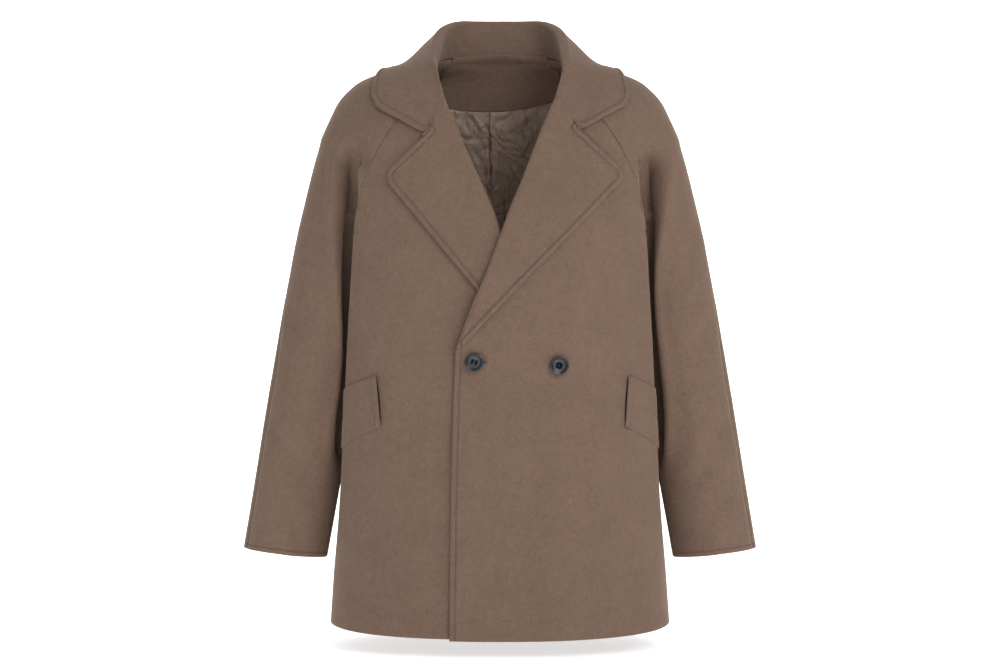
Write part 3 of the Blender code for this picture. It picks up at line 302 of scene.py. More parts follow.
def fold_section(z, facing):
    """Lower sections, (body part, arm part), parted by the cleft beside the arm."""
    column = "front" if facing < 0 else "back"
    half, depth = (float(smooth_at(BODY, c, z)) for c in ("half", column))
    middle, reach, arm_depth = arm_sizes(z, column)
    closed = np.clip((z - ARMPIT) / (CAP_TOP - ARMPIT), 0.0, 1.0) ** CLEFT_SLOPE
    turn = pi / 2 + pi / 2 * (1 - closed)
    bottom = arm_depth * sin(turn) ** ARM_FLATNESS
    angle = np.linspace(0, pi / 2, 600)
    x = half * np.sin(angle) ** (2 / SQUARENESS)
    out = depth * np.abs(np.cos(angle)) ** (2 / SQUARENESS)
    inside = np.clip(1 - (out / arm_depth) ** (2 / ARM_FLATNESS), 0, 1)
    arm_x = middle - reach * inside ** (ARM_FLATNESS / 2)
    mouth = np.clip((out - bottom) / max(arm_depth - bottom, 1e-4), 0, 1)
    least = float(side_gap(z)) if z < ARMPIT else 0.0
    gap = least + (CLEFT_MOUTH - least) * mouth**0.7
    cut = arm_x - gap + 1.5 * np.clip(out - arm_depth, 0, None)
    x = soft_min(x, cut, FOLD_ROUND)
    if z < ARMPIT:
        x = np.minimum(x, arm_x - least * (out < arm_depth) + (out >= arm_depth))
    keep = out >= bottom
    body = np.stack((x[keep], facing * out[keep]), axis=1)
    sweep = np.linspace(turn, 0, 300)
    arm = np.array([arm_section(middle, reach, arm_depth * facing, a) for a in sweep])
    if z >= ARMPIT:
        body = np.vstack((body, arm[:1]))
    body[:, 1] += ARM_MIDDLE
    arm[:, 1] += ARM_MIDDLE
    return body, arm


class Form:
    """One half (front or back) of the coat's outer surface, on a grid of heights."""

    def __init__(self, facing):
        self.facing = facing
        self.z = np.concatenate((np.linspace(-0.812, ARMPIT, LEVELS // 2)[:-1],
                                 np.linspace(ARMPIT, 0.021, LEVELS // 2)))
        body, arm = [], []
        for z in self.z:
            low = ease(-z, -CAP_TOP, -CAP_END)
            parts = []
            if low < 1:
                parts.append((1 - low, shoulder_section(z, facing)))
            if low > 0:
                parts.append((low, fold_section(z, facing)))
            body.append(sum(w * resample(p[0], SAMPLES) for w, p in parts))
            arm.append(sum(w * resample(p[1], SAMPLES) for w, p in parts))
        self.body = self.soften(np.array(body))
        self.arm = np.array(arm)
        crest = np.argmax(self.body[:, :, 0], axis=1) / (SAMPLES - 1)
        self.crest = evened(crest, 7)

    @staticmethod
    def soften(grid):
        """Rounds the sections a little across the body, ends held."""
        for _ in range(6):
            grid[:, 1:-1] = (grid[:, :-2] + 2 * grid[:, 1:-1] + grid[:, 2:]) / 4
        return grid

    def read(self, grid, share, z):
        """Point at a share of the way along the section at a height."""
        share, z = np.broadcast_arrays(np.asarray(share, float), np.asarray(z, float))
        sign = np.where(share < 0, -1.0, 1.0)
        across = np.clip(np.abs(share), 0, 1) * (SAMPLES - 1)
        i = np.minimum(across.astype(int), SAMPLES - 2)
        k = np.clip(np.searchsorted(self.z, z, side="right") - 1, 0, len(self.z) - 2)
        up = np.clip((z - self.z[k]) / (self.z[k + 1] - self.z[k]), 0, 1)
        a, b = (across - i)[..., None], up[..., None]
        xy = ((grid[k, i] * (1 - a) + grid[k, i + 1] * a) * (1 - b)
              + (grid[k + 1, i] * (1 - a) + grid[k + 1, i + 1] * a) * b)
        return np.stack((xy[..., 0] * sign, xy[..., 1], z), axis=-1)

    def fold_share(self, z):
        """Where the fold beside the arm stands out furthest on a body section."""
        return float(np.interp(z, self.z, self.crest))

    def share_at(self, x, z):
        """Share along the body section where it first reaches x."""
        size = abs(x)
        row = np.maximum.accumulate(self.read(self.body, np.linspace(0, 1, 161), z)[:, 0])
        share = float(np.interp(size, row + np.arange(161) * 1e-9, np.linspace(0, 1, 161)))
        return -share if x < 0 else share

    def normal(self, share, z, step=0.004):
        """Outward direction of the body's surface."""
        here = self.read(self.body, (share - step, share + step), (z, z))
        rise = self.read(self.body, (share, share), (z - step, z + step))
        n = np.cross(here[1] - here[0], rise[1] - rise[0])
        n /= np.linalg.norm(n)
        return n if n[1] * self.facing > 0 else -n


FRONT = Form(-1)
BACK = Form(1)


def seam_share(form, z):
    """Where the raglan seam crosses a body section; 1 is the side seam."""
    table = FRONT_SEAM if form.facing < 0 else BACK_SEAM
    last = table["z"][0]
    if z <= ARMPIT:
        return 1.0
    if z >= last:
        return min(abs(form.share_at(float(smooth_at(table, "x", z)), z)), 1.0)
    start = abs(form.share_at(table["x"][0], last))
    return start + (GUSSET_SHARE - start) * ((last - z) / (last - ARMPIT)) ** 0.9


def lap_lift(x, z):
    """How far the upper front stands off, where it laps over the other."""
    near = 1 - ease(x, *LAP_FADE)
    thick = LAP_OUT + LAPEL_OUT * ease(z, -0.45, -0.38)
    return thick * near * (1 - ease(z, -0.225, -0.150))


# ---- building solids from surfaces ----
class Sheet:
    """A surface of points and faces, outer side; points within 1 micron are shared."""

    def __init__(self, name):
        self.name = name
        self.points = []
        self.faces = []
        self.rows = []
        self.index = {}

    def point(self, p):
        key = tuple(int(round(float(c) * 1e6)) for c in p)
        if key not in self.index:
            self.index[key] = len(self.points)
            self.points.append(np.asarray(p, float))
        return self.index[key]

    def grid(self, rows, flip=False):
        self.rows = rows
        ids = [[self.point(p) for p in row] for row in rows]
        for lower, upper in zip(ids, ids[1:]):
            for a, b, c, d in zip(lower, lower[1:], upper[1:], upper):
                ring = [a, b, c, d] if not flip else [d, c, b, a]
                ring = [v for n, v in enumerate(ring) if v != ring[n - 1]]
                if len(set(ring)) > 2:
                    self.faces.append(ring)

    def face_normal(self, face):
        p = [self.points[v] for v in face]
        if len(p) == 3:
            return np.cross(p[1] - p[0], p[2] - p[0])
        return np.cross(p[2] - p[0], p[3] - p[1])

    def turn_to(self, face, direction):
        """Turns all faces over if this one doesn't look in the given direction."""
        if np.dot(self.face_normal(self.faces[face]), direction) < 0:
            self.faces = [ring[::-1] for ring in self.faces]

    def mirrored(self, name):
        other = Sheet(name)
        for p in self.points:
            other.point(p * MIRROR)
        other.faces = [face[::-1] for face in self.faces]
        other.rows = [row * MIRROR for row in self.rows]
        return other


def woven(name, rows, outward=None, face=0, flip=False):
    """A sheet on a grid of rows; the given face is made to look outward."""
    sheet = Sheet(name)
    sheet.grid([np.asarray(row) for row in rows], flip)
    if outward is not None:
        sheet.turn_to(face, outward)
    return sheet


def at_height(line, z):
    """The point of a line at a height; the line rises all the way."""
    return np.array([np.interp(z, line[:, 2], line[:, k]) for k in range(3)])


def place_key(p):
    """Points within about a hundredth of a millimetre count as one place."""
    return tuple(int(round(float(c) * 1e5)) for c in p)


def shared_normals(sheets, fixed):
    """Point normals over all sheets that meet; fixed gives some by (group, place)."""
    places, sums, sizes = [], [], []
    for sheet in sheets:
        points = np.array(sheet.points)
        total = np.zeros_like(points)
        quads = np.array([f for f in sheet.faces if len(f) == 4], int).reshape(-1, 4)
        ends = np.array([f for f in sheet.faces if len(f) == 3], int).reshape(-1, 3)
        for faces, a, b, c, d in ((quads, 0, 2, 1, 3), (ends, 0, 1, 0, 2)):
            n = np.cross(points[faces[:, b]] - points[faces[:, a]],
                         points[faces[:, d]] - points[faces[:, c]])
            for k in range(faces.shape[1]):
                np.add.at(total, faces[:, k], n)
        places.append(np.round(points * 1e5).astype(int))
        sums.append(total)
        sizes.append(len(points))
    keys, index = np.unique(np.vstack(places), axis=0, return_inverse=True)
    index = index.reshape(-1)
    shared = np.zeros((len(keys), 3))
    np.add.at(shared, index, np.vstack(sums))
    shared = shared[index]
    result, start = [], 0
    for sheet, size, place in zip(sheets, sizes, places):
        group = "sleeve" if "sleeve" in sheet.name else "body"
        rows = shared[start:start + size].copy()
        for n, key in enumerate(map(tuple, place)):
            if (group, key) in fixed:
                rows[n] = fixed[group, key]
        result.append(rows / np.maximum(np.linalg.norm(rows, axis=1), 1e-12)[:, None])
        start += size
    return result


def away_from_cleft(sheet, cleft):
    """Distance of each point from the clefts beside the arms."""
    points = np.array(sheet.points)
    points[:, 0] = np.abs(points[:, 0])
    return np.linalg.norm(points[:, None] - cleft[None], axis=2).min(axis=1)


def cloth_thickness(sheet, cleft):
    """The wall at each point: full, but thin where the walls turn at the cleft."""
    away = away_from_cleft(sheet, cleft)
    return WALL * (THIN_SHARE + (1 - THIN_SHARE) * ease(away, 0.015, 0.050))


def cleft_line():
    """The bottoms of the front and back clefts, with the armpit."""
    lines = []
    for form in (FRONT, BACK):
        z = np.linspace(ARMPIT, CLEFT_START, 40)
        lines.append(form.read(form.body, 1.0, z))
    return np.vstack(lines)


def armpit_normals():
    """Outward directions where opposite walls meet: at the armpit and up each cleft."""
    fixed = {}
    for side in (1, -1):
        place = place_key(FRONT.read(FRONT.body, 1.0, ARMPIT) * (side, 1, 1))
        fixed["body", place] = np.array((0.97 * side, 0, -0.24))
        fixed["sleeve", place] = np.array((0.0, 0, -0.95))
        for form in (FRONT, BACK):
            line = np.array([r[GUSSET_COLUMNS] for r in cap_rows(form)])
            for n in range(1, len(line) - 1):
                run = line[n + 1] - line[n - 1]
                if line[n][2] < CLEFT_START:
                    fixed["sleeve", place_key(line[n] * (side, 1, 1))] = np.array(
                        (0.0, form.facing * abs(run[2]), -abs(run[1])))
    return fixed


# ---- body ----
def body_heights():
    """Heights of the grid's rows from hem to armpit."""
    share = np.linspace(0, 1, BODY_ROWS + 1)
    return HEM_SIDE + (ARMPIT - HEM_SIDE) * share**0.92


def hem_tilt(z, share, drop):
    """How much lower a row hangs towards centre front."""
    fade = ease(-z, 0.62, -HEM_SIDE)
    return -drop * fade * (1 - np.abs(share) ** 2.2)


def columns(form, z, left, right, before, after):
    """Shares of a row's points: some up to the fold beside the arm, some past it."""
    turn = min(form.fold_share(z), left + (right - left) * 0.86, 0.82)
    first = np.linspace(left, turn, before + 1)
    return np.concatenate((first, np.linspace(turn, right, after + 1)[1:]))


def cap_heights(top):
    share = np.linspace(0, 1, CAP_ROWS + 1)[1:]
    return ARMPIT + (top - ARMPIT) * share ** CAP_SPREAD


def front_edge(column, z):
    """Edge of a front: the free edge below the break, just inside the roll line above."""
    if z <= ROLL["z"][0]:
        return float(smooth_at(FRONT_EDGE, "x", z))
    slant = 1.12
    return float(smooth_at(ROLL, column, z)) + ROLL_TURN * slant * fold_grown(z)


def fold_grown(z):
    """The lapel's fold grows from nothing at the break up to its full roll."""
    return float(ease(z, LAPEL_BREAK, LAPEL_BREAK + 0.058))


def front_panel(name, over):
    """A front in the +X half, from its front edge or roll line to side and raglan seam."""
    column = "over" if over else "under"
    rows = []
    heights = list(body_heights()) + list(cap_heights(FRONT_NECK))
    for z in heights:
        left = FRONT.share_at(front_edge(column, z), z)
        right = seam_share(FRONT, z)
        share = columns(FRONT, z, left, right, FRONT_COLUMNS, SIDE_COLUMNS)
        level = z + hem_tilt(z, share, LAP_DROP if over else HEM_DROP)
        points = FRONT.read(FRONT.body, share, level)
        if over:
            for n, (s, p) in enumerate(zip(share, points)):
                lift = float(lap_lift(p[0], p[2]))
                if lift > 0:
                    points[n] = p + FRONT.normal(s, level[n]) * lift
        rows.append(points)
    return woven(name, rows)


def back_panel():
    rows = []
    for z in body_heights():
        share = columns(BACK, z, 0.0, 1.0, BACK_COLUMNS, SIDE_COLUMNS)
        rows.append(BACK.read(BACK.body, share, np.full(len(share), z)))
    seam_top = BACK_SEAM["z"][-1]
    for z in cap_heights(seam_top):
        rise = (z - ARMPIT) / (seam_top - ARMPIT)
        share = columns(BACK, z, 0.0, seam_share(BACK, z), BACK_COLUMNS, SIDE_COLUMNS)
        level = z + 0.010 * rise**2 * (1 - (share / share[-1])**2)
        rows.append(BACK.read(BACK.body, share, level))
    return woven("back", [np.vstack((row[:0:-1] * MIRROR, row)) for row in rows], flip=True)


# ---- sleeves ----
def overarm_turn(z):
    """Angle of the overarm seam, forward of the outermost line."""
    return radians(24) * ease(-z, 0.24, 0.46)


def bezier(a, b, c, d, count):
    t = np.linspace(0, 1, count)[:, None]
    return (1 - t)**3 * a + 3 * (1 - t)**2 * t * b + 3 * (1 - t) * t**2 * c + t**3 * d


def arm_point(z, angle):
    """Point of the arm section; angle 0 is outermost, positive turns to the front."""
    form = FRONT if angle >= 0 else BACK
    middle, reach, depth = arm_sizes(z, "front" if angle >= 0 else "back")
    x, y = arm_section(middle, reach, depth * form.facing, abs(angle))
    return np.array((x, y + ARM_MIDDLE, z))


def cap_rib(form, seam_z, ridge_z, row_share):
    """One cross line of the sleeve head: gusset points, then points up to the ridge."""
    facing = form.facing
    left = seam_share(form, seam_z)
    b = form.read(form.body, left, seam_z)
    tip = form.read(form.arm, 1.0, ridge_z)
    count = GUSSET_COLUMNS + ARM_COLUMNS + 1
    chord = tip - b
    length = np.linalg.norm(chord)
    n = form.normal(left, seam_z)
    along = chord - n * np.dot(chord, n)
    along /= np.linalg.norm(along)
    crown = np.array((0, facing, 0))
    smooth_line = bezier(b, b + along * length * 0.36, tip + crown * length * 0.36, tip, count)
    past = (form.fold_share(seam_z) - left) / max(1 - left, 1e-6)
    past = max(past, 0.6 / GUSSET_COLUMNS)
    g = np.concatenate(((0.0,), np.linspace(past, 1, GUSSET_COLUMNS)))
    split = GUSSET_COLUMNS / (GUSSET_COLUMNS + ARM_COLUMNS) * (1 - row_share)
    z_gusset = seam_z + (ridge_z - seam_z) * g * split
    gusset = form.read(form.body, left + (1 - left) * g, z_gusset)
    a = np.linspace(0, 1, ARM_COLUMNS + 1)[1:]
    z_arm = seam_z + (ridge_z - seam_z) * (split + (1 - split) * a)
    arm = form.read(form.arm, a, z_arm)
    formed = np.vstack((gusset, arm))
    formed[-1] = tip
    weight = ease(row_share, 0.30, 0.62)
    return smooth_line * (1 - weight) + formed * weight


def cap_rows(form):
    """The sleeve head's cross lines, from the neck down to the armpit."""
    seam_top = FRONT_NECK if form.facing < 0 else BACK_SEAM["z"][-1]
    rows = []
    for row in range(CAP_ROWS + 1):
        share = row / CAP_ROWS
        rows.append(cap_rib(form, cap_z(seam_top, row), ridge_height(share), share))
    return rows


def rounded_off(rows, middle, reach=7):
    """The rows with the bend across their middle rounded off, away from the seams."""
    grid = np.array(rows)
    columns_in = np.arange(grid.shape[1] - 2)
    share = np.minimum(ease(columns_in, -1, 7), ease(columns_in[::-1], -1, 7))[None, :, None]
    near = grid[middle - reach:middle + reach + 1, 1:-1]
    for _ in range(14):
        before = grid[middle - reach - 1:middle + reach, 1:-1]
        after = grid[middle - reach + 1:middle + reach + 2, 1:-1]
        near += ((before + after) / 2 - near) * 0.5 * share
    return list(grid)


def sleeve_half(name, form):
    sheet = Sheet(name)
    facing = form.facing
    cap = cap_rows(form)
    sheet.grid([r[:GUSSET_COLUMNS + 1] for r in cap], flip=facing < 0)
    tube = [r[GUSSET_COLUMNS:] for r in cap]
    top_z = ridge_height(1.0)
    for row in range(1, ARM_ROWS + 1):
        share = (row / ARM_ROWS) ** 0.95
        outer_z = top_z + (-0.690 - top_z) * share
        inner_z = ARMPIT + (-0.704 - ARMPIT) * share
        points = []
        for angle in np.linspace(pi, -facing * overarm_turn(outer_z), ARM_COLUMNS + 1):
            z = outer_z + (inner_z - outer_z) * (1 - cos(angle)) / 2
            points.append(arm_point(z, -facing * angle))
        tube.append(np.array(points))
    sheet.grid(rounded_off(tube, CAP_ROWS), flip=facing < 0)
    return sheet


def cap_z(seam_top, row):
    """Heights on the raglan seam that match the rows of the body panels."""
    share = 1 - row / CAP_ROWS
    return ARMPIT + (seam_top - ARMPIT) * share ** CAP_SPREAD


def ridge_height(share):
    """Height on the ridge for a row of the sleeve head, evenly spaced along it."""
    z = np.concatenate((np.linspace(0.002, -0.112, 60), np.linspace(-0.116, -0.232, 30)))
    x = FRONT.read(FRONT.arm, 1.0, z)[:, 0]
    along = np.concatenate(((0.0,), np.cumsum(np.hypot(np.diff(x), np.diff(z)))))
    return float(np.interp(share * along[-1], along, z))


# ---- pieces that lie on the cloth ----
def unit(v):
    return v / max(np.linalg.norm(v), 1e-12)


def tree_of(sheets):
    points, faces = [], []
    for sheet in sheets:
        start = len(points)
        points += [Vector(p) for p in sheet.points]
        faces += [[v + start for v in face] for face in sheet.faces]
    return BVHTree.FromPolygons(points, faces)


def landing(tree, point, normal, above=0.03, below=0.06):
    """Where the cloth is met, coming in against the normal."""
    hit = tree.ray_cast(Vector(point + normal * above), Vector(-normal), above + below)[0]
    return None if hit is None else np.array(hit)


def laid(tree, point, normal, out):
    """The point moved along the normal until it is this far outside the cloth."""
    hit = landing(tree, point, normal)
    return point + normal * out if hit is None else hit + normal * out


def laid_on_front(tree, x, z, out):
    share = FRONT.share_at(x, z)
    return laid(tree, FRONT.read(FRONT.body, share, z), FRONT.normal(share, z), out)


def round_fold(start, out, up, roll, radius):
    """From the seam up and round a fold: its first point, then the points of the turn."""
    centre = roll - up * radius
    turn = np.linspace(0, pi, FOLD_POINTS)
    return [start] + [centre + radius * (sin(a) * up - cos(a) * out) for a in turn]


def lapel_walls(rows):
    """A lapel's thickness: that of its folds, and thinner where it ends at the break."""
    thin = ease(rows[:, -1, 2], LAPEL_BREAK, LAPEL_BREAK + BREAK_FADE)
    full = fold_walls(rows.shape[1], 1)
    least = BREAK_WALL / FOLDED_CLOTH
    return (full[None] * (least + (1 - least) * thin[:, None])).ravel()


def fold_walls(count, rows):
    """Thickness from the seam (one layer) over the fold to the two pressed layers."""
    across = np.concatenate((np.linspace(0.0028, 0.0034, FOLD_POINTS + 1),
                             np.full(count - FOLD_POINTS - 1, FOLDED_CLOTH)))
    return np.tile(across, rows)


# ---- lapels ----
def outline_of(lapel):
    """The lapel's outline from the notch round the point to the break, as (x, z)."""
    notch, point, hollow, end = (np.array(lapel[k])
                                 for k in ("notch", "point", "hollow", "break"))
    before = point + unit(notch - point) * lapel["round"]
    after = point + unit(hollow - point) * lapel["round"]
    t = np.linspace(0, 1, 7)[:, None]
    corner = (1 - t)**2 * before + 2 * (1 - t) * t * point + t**2 * after
    bend = hollow + (unit(point - hollow) + unit(end - hollow)) * 0.006
    lower = bezier(hollow + unit(point - hollow) * 0.05, bend, bend, end, 9)
    return resample(np.vstack((notch, corner, lower)), 200)


def lapel(name, side, panel, tree):
    edge = np.array([row[0] for row in panel.rows])
    outline = outline_of(LAPELS[side])
    steps = np.linspace(0, 1, len(outline))
    top, end = GORGE[1], LAPEL_END
    rows = []
    lines = np.linspace(0, 1, LAPEL_LINES)
    for along, share in zip(lines, smooth_at(LAPEL_ROWS, "outline", lines)):
        z = top + (end - top) * along
        seam = at_height(edge, z)
        out = FRONT.normal(FRONT.share_at(seam[0], z), z)
        up = unit(np.cross(out, at_height(edge, z + 0.01) - seam))
        up = up if up[0] < 0 else -up
        radius = ROLL_RADIUS
        if side == "right":
            radius += (PRESSED_RADIUS - ROLL_RADIUS) * float(ease(-z, 0.18, 0.235))
        grown = fold_grown(z)
        end_radius = (WALL + BREAK_WALL) / 2
        radius = end_radius + (radius - end_radius) * grown
        roll = seam + up * (ROLL_TURN * grown) + out * (radius - WALL)
        line = round_fold(seam - out * WALL + up * SEAM * 2.5 * grown, out, up, roll, radius)
        goal = np.array([np.interp(share, steps, outline[:, k]) for k in range(2)])
        high = 2 * radius - WALL
        thick = float(ease(z, LAPEL_BREAK, LAPEL_BREAK + BREAK_FADE))
        low = BREAK_WALL + (FOLDED_CLOTH + LYING - BREAK_WALL) * thick
        start = line[-1][[0, 2]]
        length = np.hypot(*(goal - start))
        for t in np.linspace(0, 1, LAPEL_POINTS + 1)[1:]:
            x, level = start + (goal - start) * t
            rise = (high - low) * (1 - float(ease(t * length, 0.0, ROLL_SPREAD)))
            inner = max(x, float(np.interp(level, edge[:, 2], edge[:, 0])) + 0.0012)
            point = laid_on_front(tree, inner, level, low + rise)
            line.append(point + np.array((x - inner, 0.0, 0.0)))
        rows.append(line)
    across = len(rows[0]) - 1
    return woven(name, rows, (0, -1, 0), face=LAPEL_LINES // 2 * across + across - 1)


# ---- collar ----
def neck_seam(back, front):
    """The line on which the collar is sewn, from centre back round to the gorge."""
    middle = len(back.rows[-1]) // 2
    edge = np.array([row[0] for row in front.rows])[::-1]
    roll = edge[edge[:, 2] > GORGE[1]]
    last = [at_height(edge[::-1], GORGE[1])]
    parts = (back.rows[-1][middle:], cap_rows(BACK)[0], cap_rows(FRONT)[0][::-1],
             front.rows[-1][::-1], roll, last)
    return resample(np.vstack(parts), 240)


def softened(path):
    """The path with its corners rounded a little."""
    return np.stack([evened(path[:, k], 9) for k in range(path.shape[1])], axis=1)


def collar_station(share, line, tree, side):
    """One cross line of the collar: seam, stand, roll and fall to the outer edge."""
    n = int(round(share * (len(line) - 1)))
    seam = line[n]
    near = [tree.find_nearest(Vector(line[k]))[1]
            for k in range(max(n - 8, 0), min(n + 9, len(line)))]
    normal = unit(np.mean([np.array(v) for v in near], axis=0))
    ahead = unit(line[min(n + 6, len(line) - 1)] - line[max(n - 6, 0)])
    if n == 0:
        normal[0] = 0.0
        ahead = np.array((1.0, 0.0, 0.0))
    inward = unit(np.cross(ahead, normal))
    inward = inward if np.dot(inward, (-seam[0], 0.01, 0.02)) > 0 else -inward
    corner, notch = (np.array(COLLAR_FRONT[side][k]) for k in ("corner", "notch"))
    foot_in = COLLAR_FOOT[0] + (COLLAR_FOOT[1] - COLLAR_FOOT[0]) * float(ease(share, 0.6, 0.8))
    last = COLLAR["along"][-1]
    inside = min(share, last)
    roll = np.array([float(smooth_at(COLLAR, "roll_" + k, inside)) for k in "xyz"])
    edge = np.array([float(smooth_at(COLLAR, "edge_" + k, inside)) for k in "xyz"])
    low = FOLDED_CLOTH + LYING
    radius = COLLAR_RADIUS
    if share > last:
        blend = (share - last) / (1 - last)
        radius += (ROLL_RADIUS - COLLAR_RADIUS) * blend
        gorge_roll = seam + inward * ROLL_TURN + normal * (ROLL_RADIUS - WALL)
        corner_point = laid_on_front(tree, corner[0], corner[1], low)
        roll = roll * (1 - blend) + gorge_roll * blend
        edge = edge * (1 - blend) + corner_point * blend
    out = normal
    for _ in range(6):
        foot = seam - normal * WALL * max(np.dot(out, normal), 0.0)
        foot = foot + inward * (foot_in + WALL * max(-np.dot(out, inward), 0.0))
        up = unit(roll - foot - out * radius)
        side_on = unit(np.cross(ahead, up))
        out = side_on if np.dot(side_on, normal) > 0 else -side_on
    points = round_fold(foot, out, up, roll, radius)
    start = points[-1]
    gorge_end = np.array(LAPELS[side]["notch"])
    path = resample(np.vstack((start[[0, 2]], gorge_end, notch, corner)), 121)
    path[1:-1] = softened(path)[1:-1]
    walked = np.linspace(0, 1, len(path))
    rise = 2 * ROLL_RADIUS - WALL - low
    for t in np.linspace(0, 1, FALL_POINTS + 1)[1:]:
        straight = start + (edge - start) * t
        bend = float(ease(share, last - 0.06, 1.0))
        if bend > 0:
            x, z = (np.interp(t, walked, path[:, k]) for k in range(2))
            near = np.hypot(x - start[0], z - start[2])
            high = low + rise * (1 - float(ease(near, 0.0, ROLL_SPREAD)))
            straight = straight * (1 - bend) + laid_on_front(tree, x, z, high) * bend
        points.append(straight)
    return np.array(points)


def settle(rows, first, tree):
    """Lets the fall of the collar down on to the shoulders, most of all at its edge."""
    grid = np.array(rows)
    low = FOLDED_CLOTH + LYING
    count = grid.shape[1] - 1 - first
    for i in range(grid.shape[0]):
        for j in range(first + 1, grid.shape[1]):
            foot, normal = (np.array(v) for v in tree.find_nearest(Vector(grid[i, j]))[:2])
            away = grid[i, j] - foot
            height = np.linalg.norm(away) * (1 if np.dot(away, normal) > 0 else -1)
            direction = away / height if abs(height) > 0.002 else normal
            close = float(ease((j - first) / count, 0.2, 1.0))
            grid[i, j] = foot + direction * max(low, height * (1 - close) + low * close)
    return grid


def clear(sheet, thickness, tree, gap, first):
    """Moves points out until the inner side is a gap away from the cloth below."""
    width = len(sheet.rows[0])
    free = [n for n in range(len(sheet.points)) if n % width >= first]
    for _ in range(5):
        points = np.array(sheet.points)
        inner = points - shared_normals([sheet], {})[0] * np.reshape(thickness, (-1, 1))
        moved = 0
        for n in free:
            foot, normal = (np.array(v) for v in tree.find_nearest(Vector(inner[n]))[:2])
            lack = gap - float(np.dot(inner[n] - foot, normal))
            if 0 < lack < 0.02:
                sheet.points[n] = points[n] + normal * lack
                moved += 1
        if not moved:
            break
    return sheet


def round_corner(grid, first, radius):
    """Rounds the front corner of a collar half, where its last row meets the outer edge."""
    grid = grid.copy()
    corner = grid[-1, -1].copy()
    along = unit(grid[-12, -1] - corner)
    across = unit(grid[-1, -10] - corner)
    for i in range(max(len(grid) - 30, 0), len(grid)):
        for j in range(first, grid.shape[1]):
            away = grid[i, j] - corner
            turn = float(np.dot(along, across))
            u = (np.dot(away, along) - turn * np.dot(away, across)) / (1 - turn**2)
            v = (np.dot(away, across) - turn * np.dot(away, along)) / (1 - turn**2)
            p, q = radius - u, radius - v
            if p > 0 and q > 0 and p < radius * 1.2 and q < radius * 1.2:
                fit = max(p, q) / np.hypot(p, q)
                grid[i, j] = grid[i, j] + along * p * (1 - fit) + across * q * (1 - fit)
    return grid


def collar(back, panels, trees):
    halves = []
    for side in ("left", "right"):
        line = neck_seam(back, panels[side])
        turn = np.linalg.norm(line - panels[side].rows[-1][0], axis=1).argmin() / (len(line) - 1)
        ahead = max(int(COLLAR_STATIONS * (1 - turn) * 1.6), 4)
        shares = np.concatenate((np.linspace(0, turn, COLLAR_STATIONS - ahead),
                                 np.linspace(turn, 1.0, ahead + 1)[1:]))
        rows = [collar_station(s, line, trees[side], side) for s in shares]
        grid = settle(rows, FOLD_POINTS, trees[side])
        for _ in range(3):
            inner = grid[1:-1, FOLD_POINTS + 2:-1]
            inner += (grid[:-2, FOLD_POINTS + 2:-1] + grid[2:, FOLD_POINTS + 2:-1]
                      + grid[1:-1, FOLD_POINTS + 1:-2] + grid[1:-1, FOLD_POINTS + 3:]
                      - 4 * inner) * 0.15
        halves.append(round_corner(grid, FOLD_POINTS + 4, COLLAR_ROUND))
    across = len(halves[0][0]) - 1
    return woven("collar", [*(halves[1][:0:-1] * MIRROR), *halves[0]], (0, 1, 0),
                 face=(COLLAR_STATIONS - 1) * across + across - 1)


# ---- inside the back ----
def inside_back(tree, x, z, gap):
    """A point inside the back panel, a gap away from its inner face."""
    share = BACK.share_at(x, z)
    return laid(tree, BACK.read(BACK.body, share, z), BACK.normal(share, z), -WALL - gap)


def facing_low(x):
    x = np.clip(x, -0.09, 0.09)
    return FACING_LOW[0] + FACING_LOW[1] * x + FACING_LOW[2] * x * x


def neck_facing(tree):
    rows = []
    for up in np.linspace(0, 1, 28):
        half = FACING_WIDTH[0] + (FACING_WIDTH[1] - FACING_WIDTH[0]) * up
        row = []
        for x in np.linspace(-half, half, 60):
            aside = (x / BACK_SEAM["x"][-1]) ** 2
            sewn = 0.0180 - 0.0100 * aside
            top = FACING_TOP[0] - FACING_TOP[1] * aside
            z = float(facing_low(x)) * (1 - up) + top * up
            gap = CLEARANCE + FACING_TUCK * float(ease(up, 0.80, 1.0))
            point = inside_back(tree, x, min(z, sewn), gap)
            row.append(point + np.array((0.0, 0.0, max(z - sewn, 0.0))))
        rows.append(row)
    return woven("neck_facing", rows, (0, 1, 0))


def lining_back(tree):
    """The lining of the back, with a pleat down its middle that opens out lower down."""
    side = np.linspace(0.008, 0.148, 57)
    middle = np.linspace(PLEAT["x"][0], PLEAT["x"][-1], 27)
    across = np.concatenate((-side[side > 0.021][::-1], middle, side[1:]))
    rows = []
    for z in np.concatenate((np.linspace(-0.060, -0.260, 80), np.linspace(-0.266, -0.765, 84))):
        half = float(smooth_at(LINING_HALF, "x", z))
        row = []
        for x in across:
            x = x * (1 + (half / side[-1] - 1) * float(ease(abs(x), 0.02, 0.05)))
            follows = float(ease(z, -0.17, -0.09))
            level = (float(facing_low(x)) + (z + 0.060)) * follows + z * (1 - follows)
            rise = np.interp(x, PLEAT["x"], PLEAT["rise"]) * ease(z, PLEAT_END, -0.26)
            row.append(inside_back(tree, x, level, LYING + float(rise)))
        rows.append(row)
    return woven("lining_back", rows, (0, 1, 0))


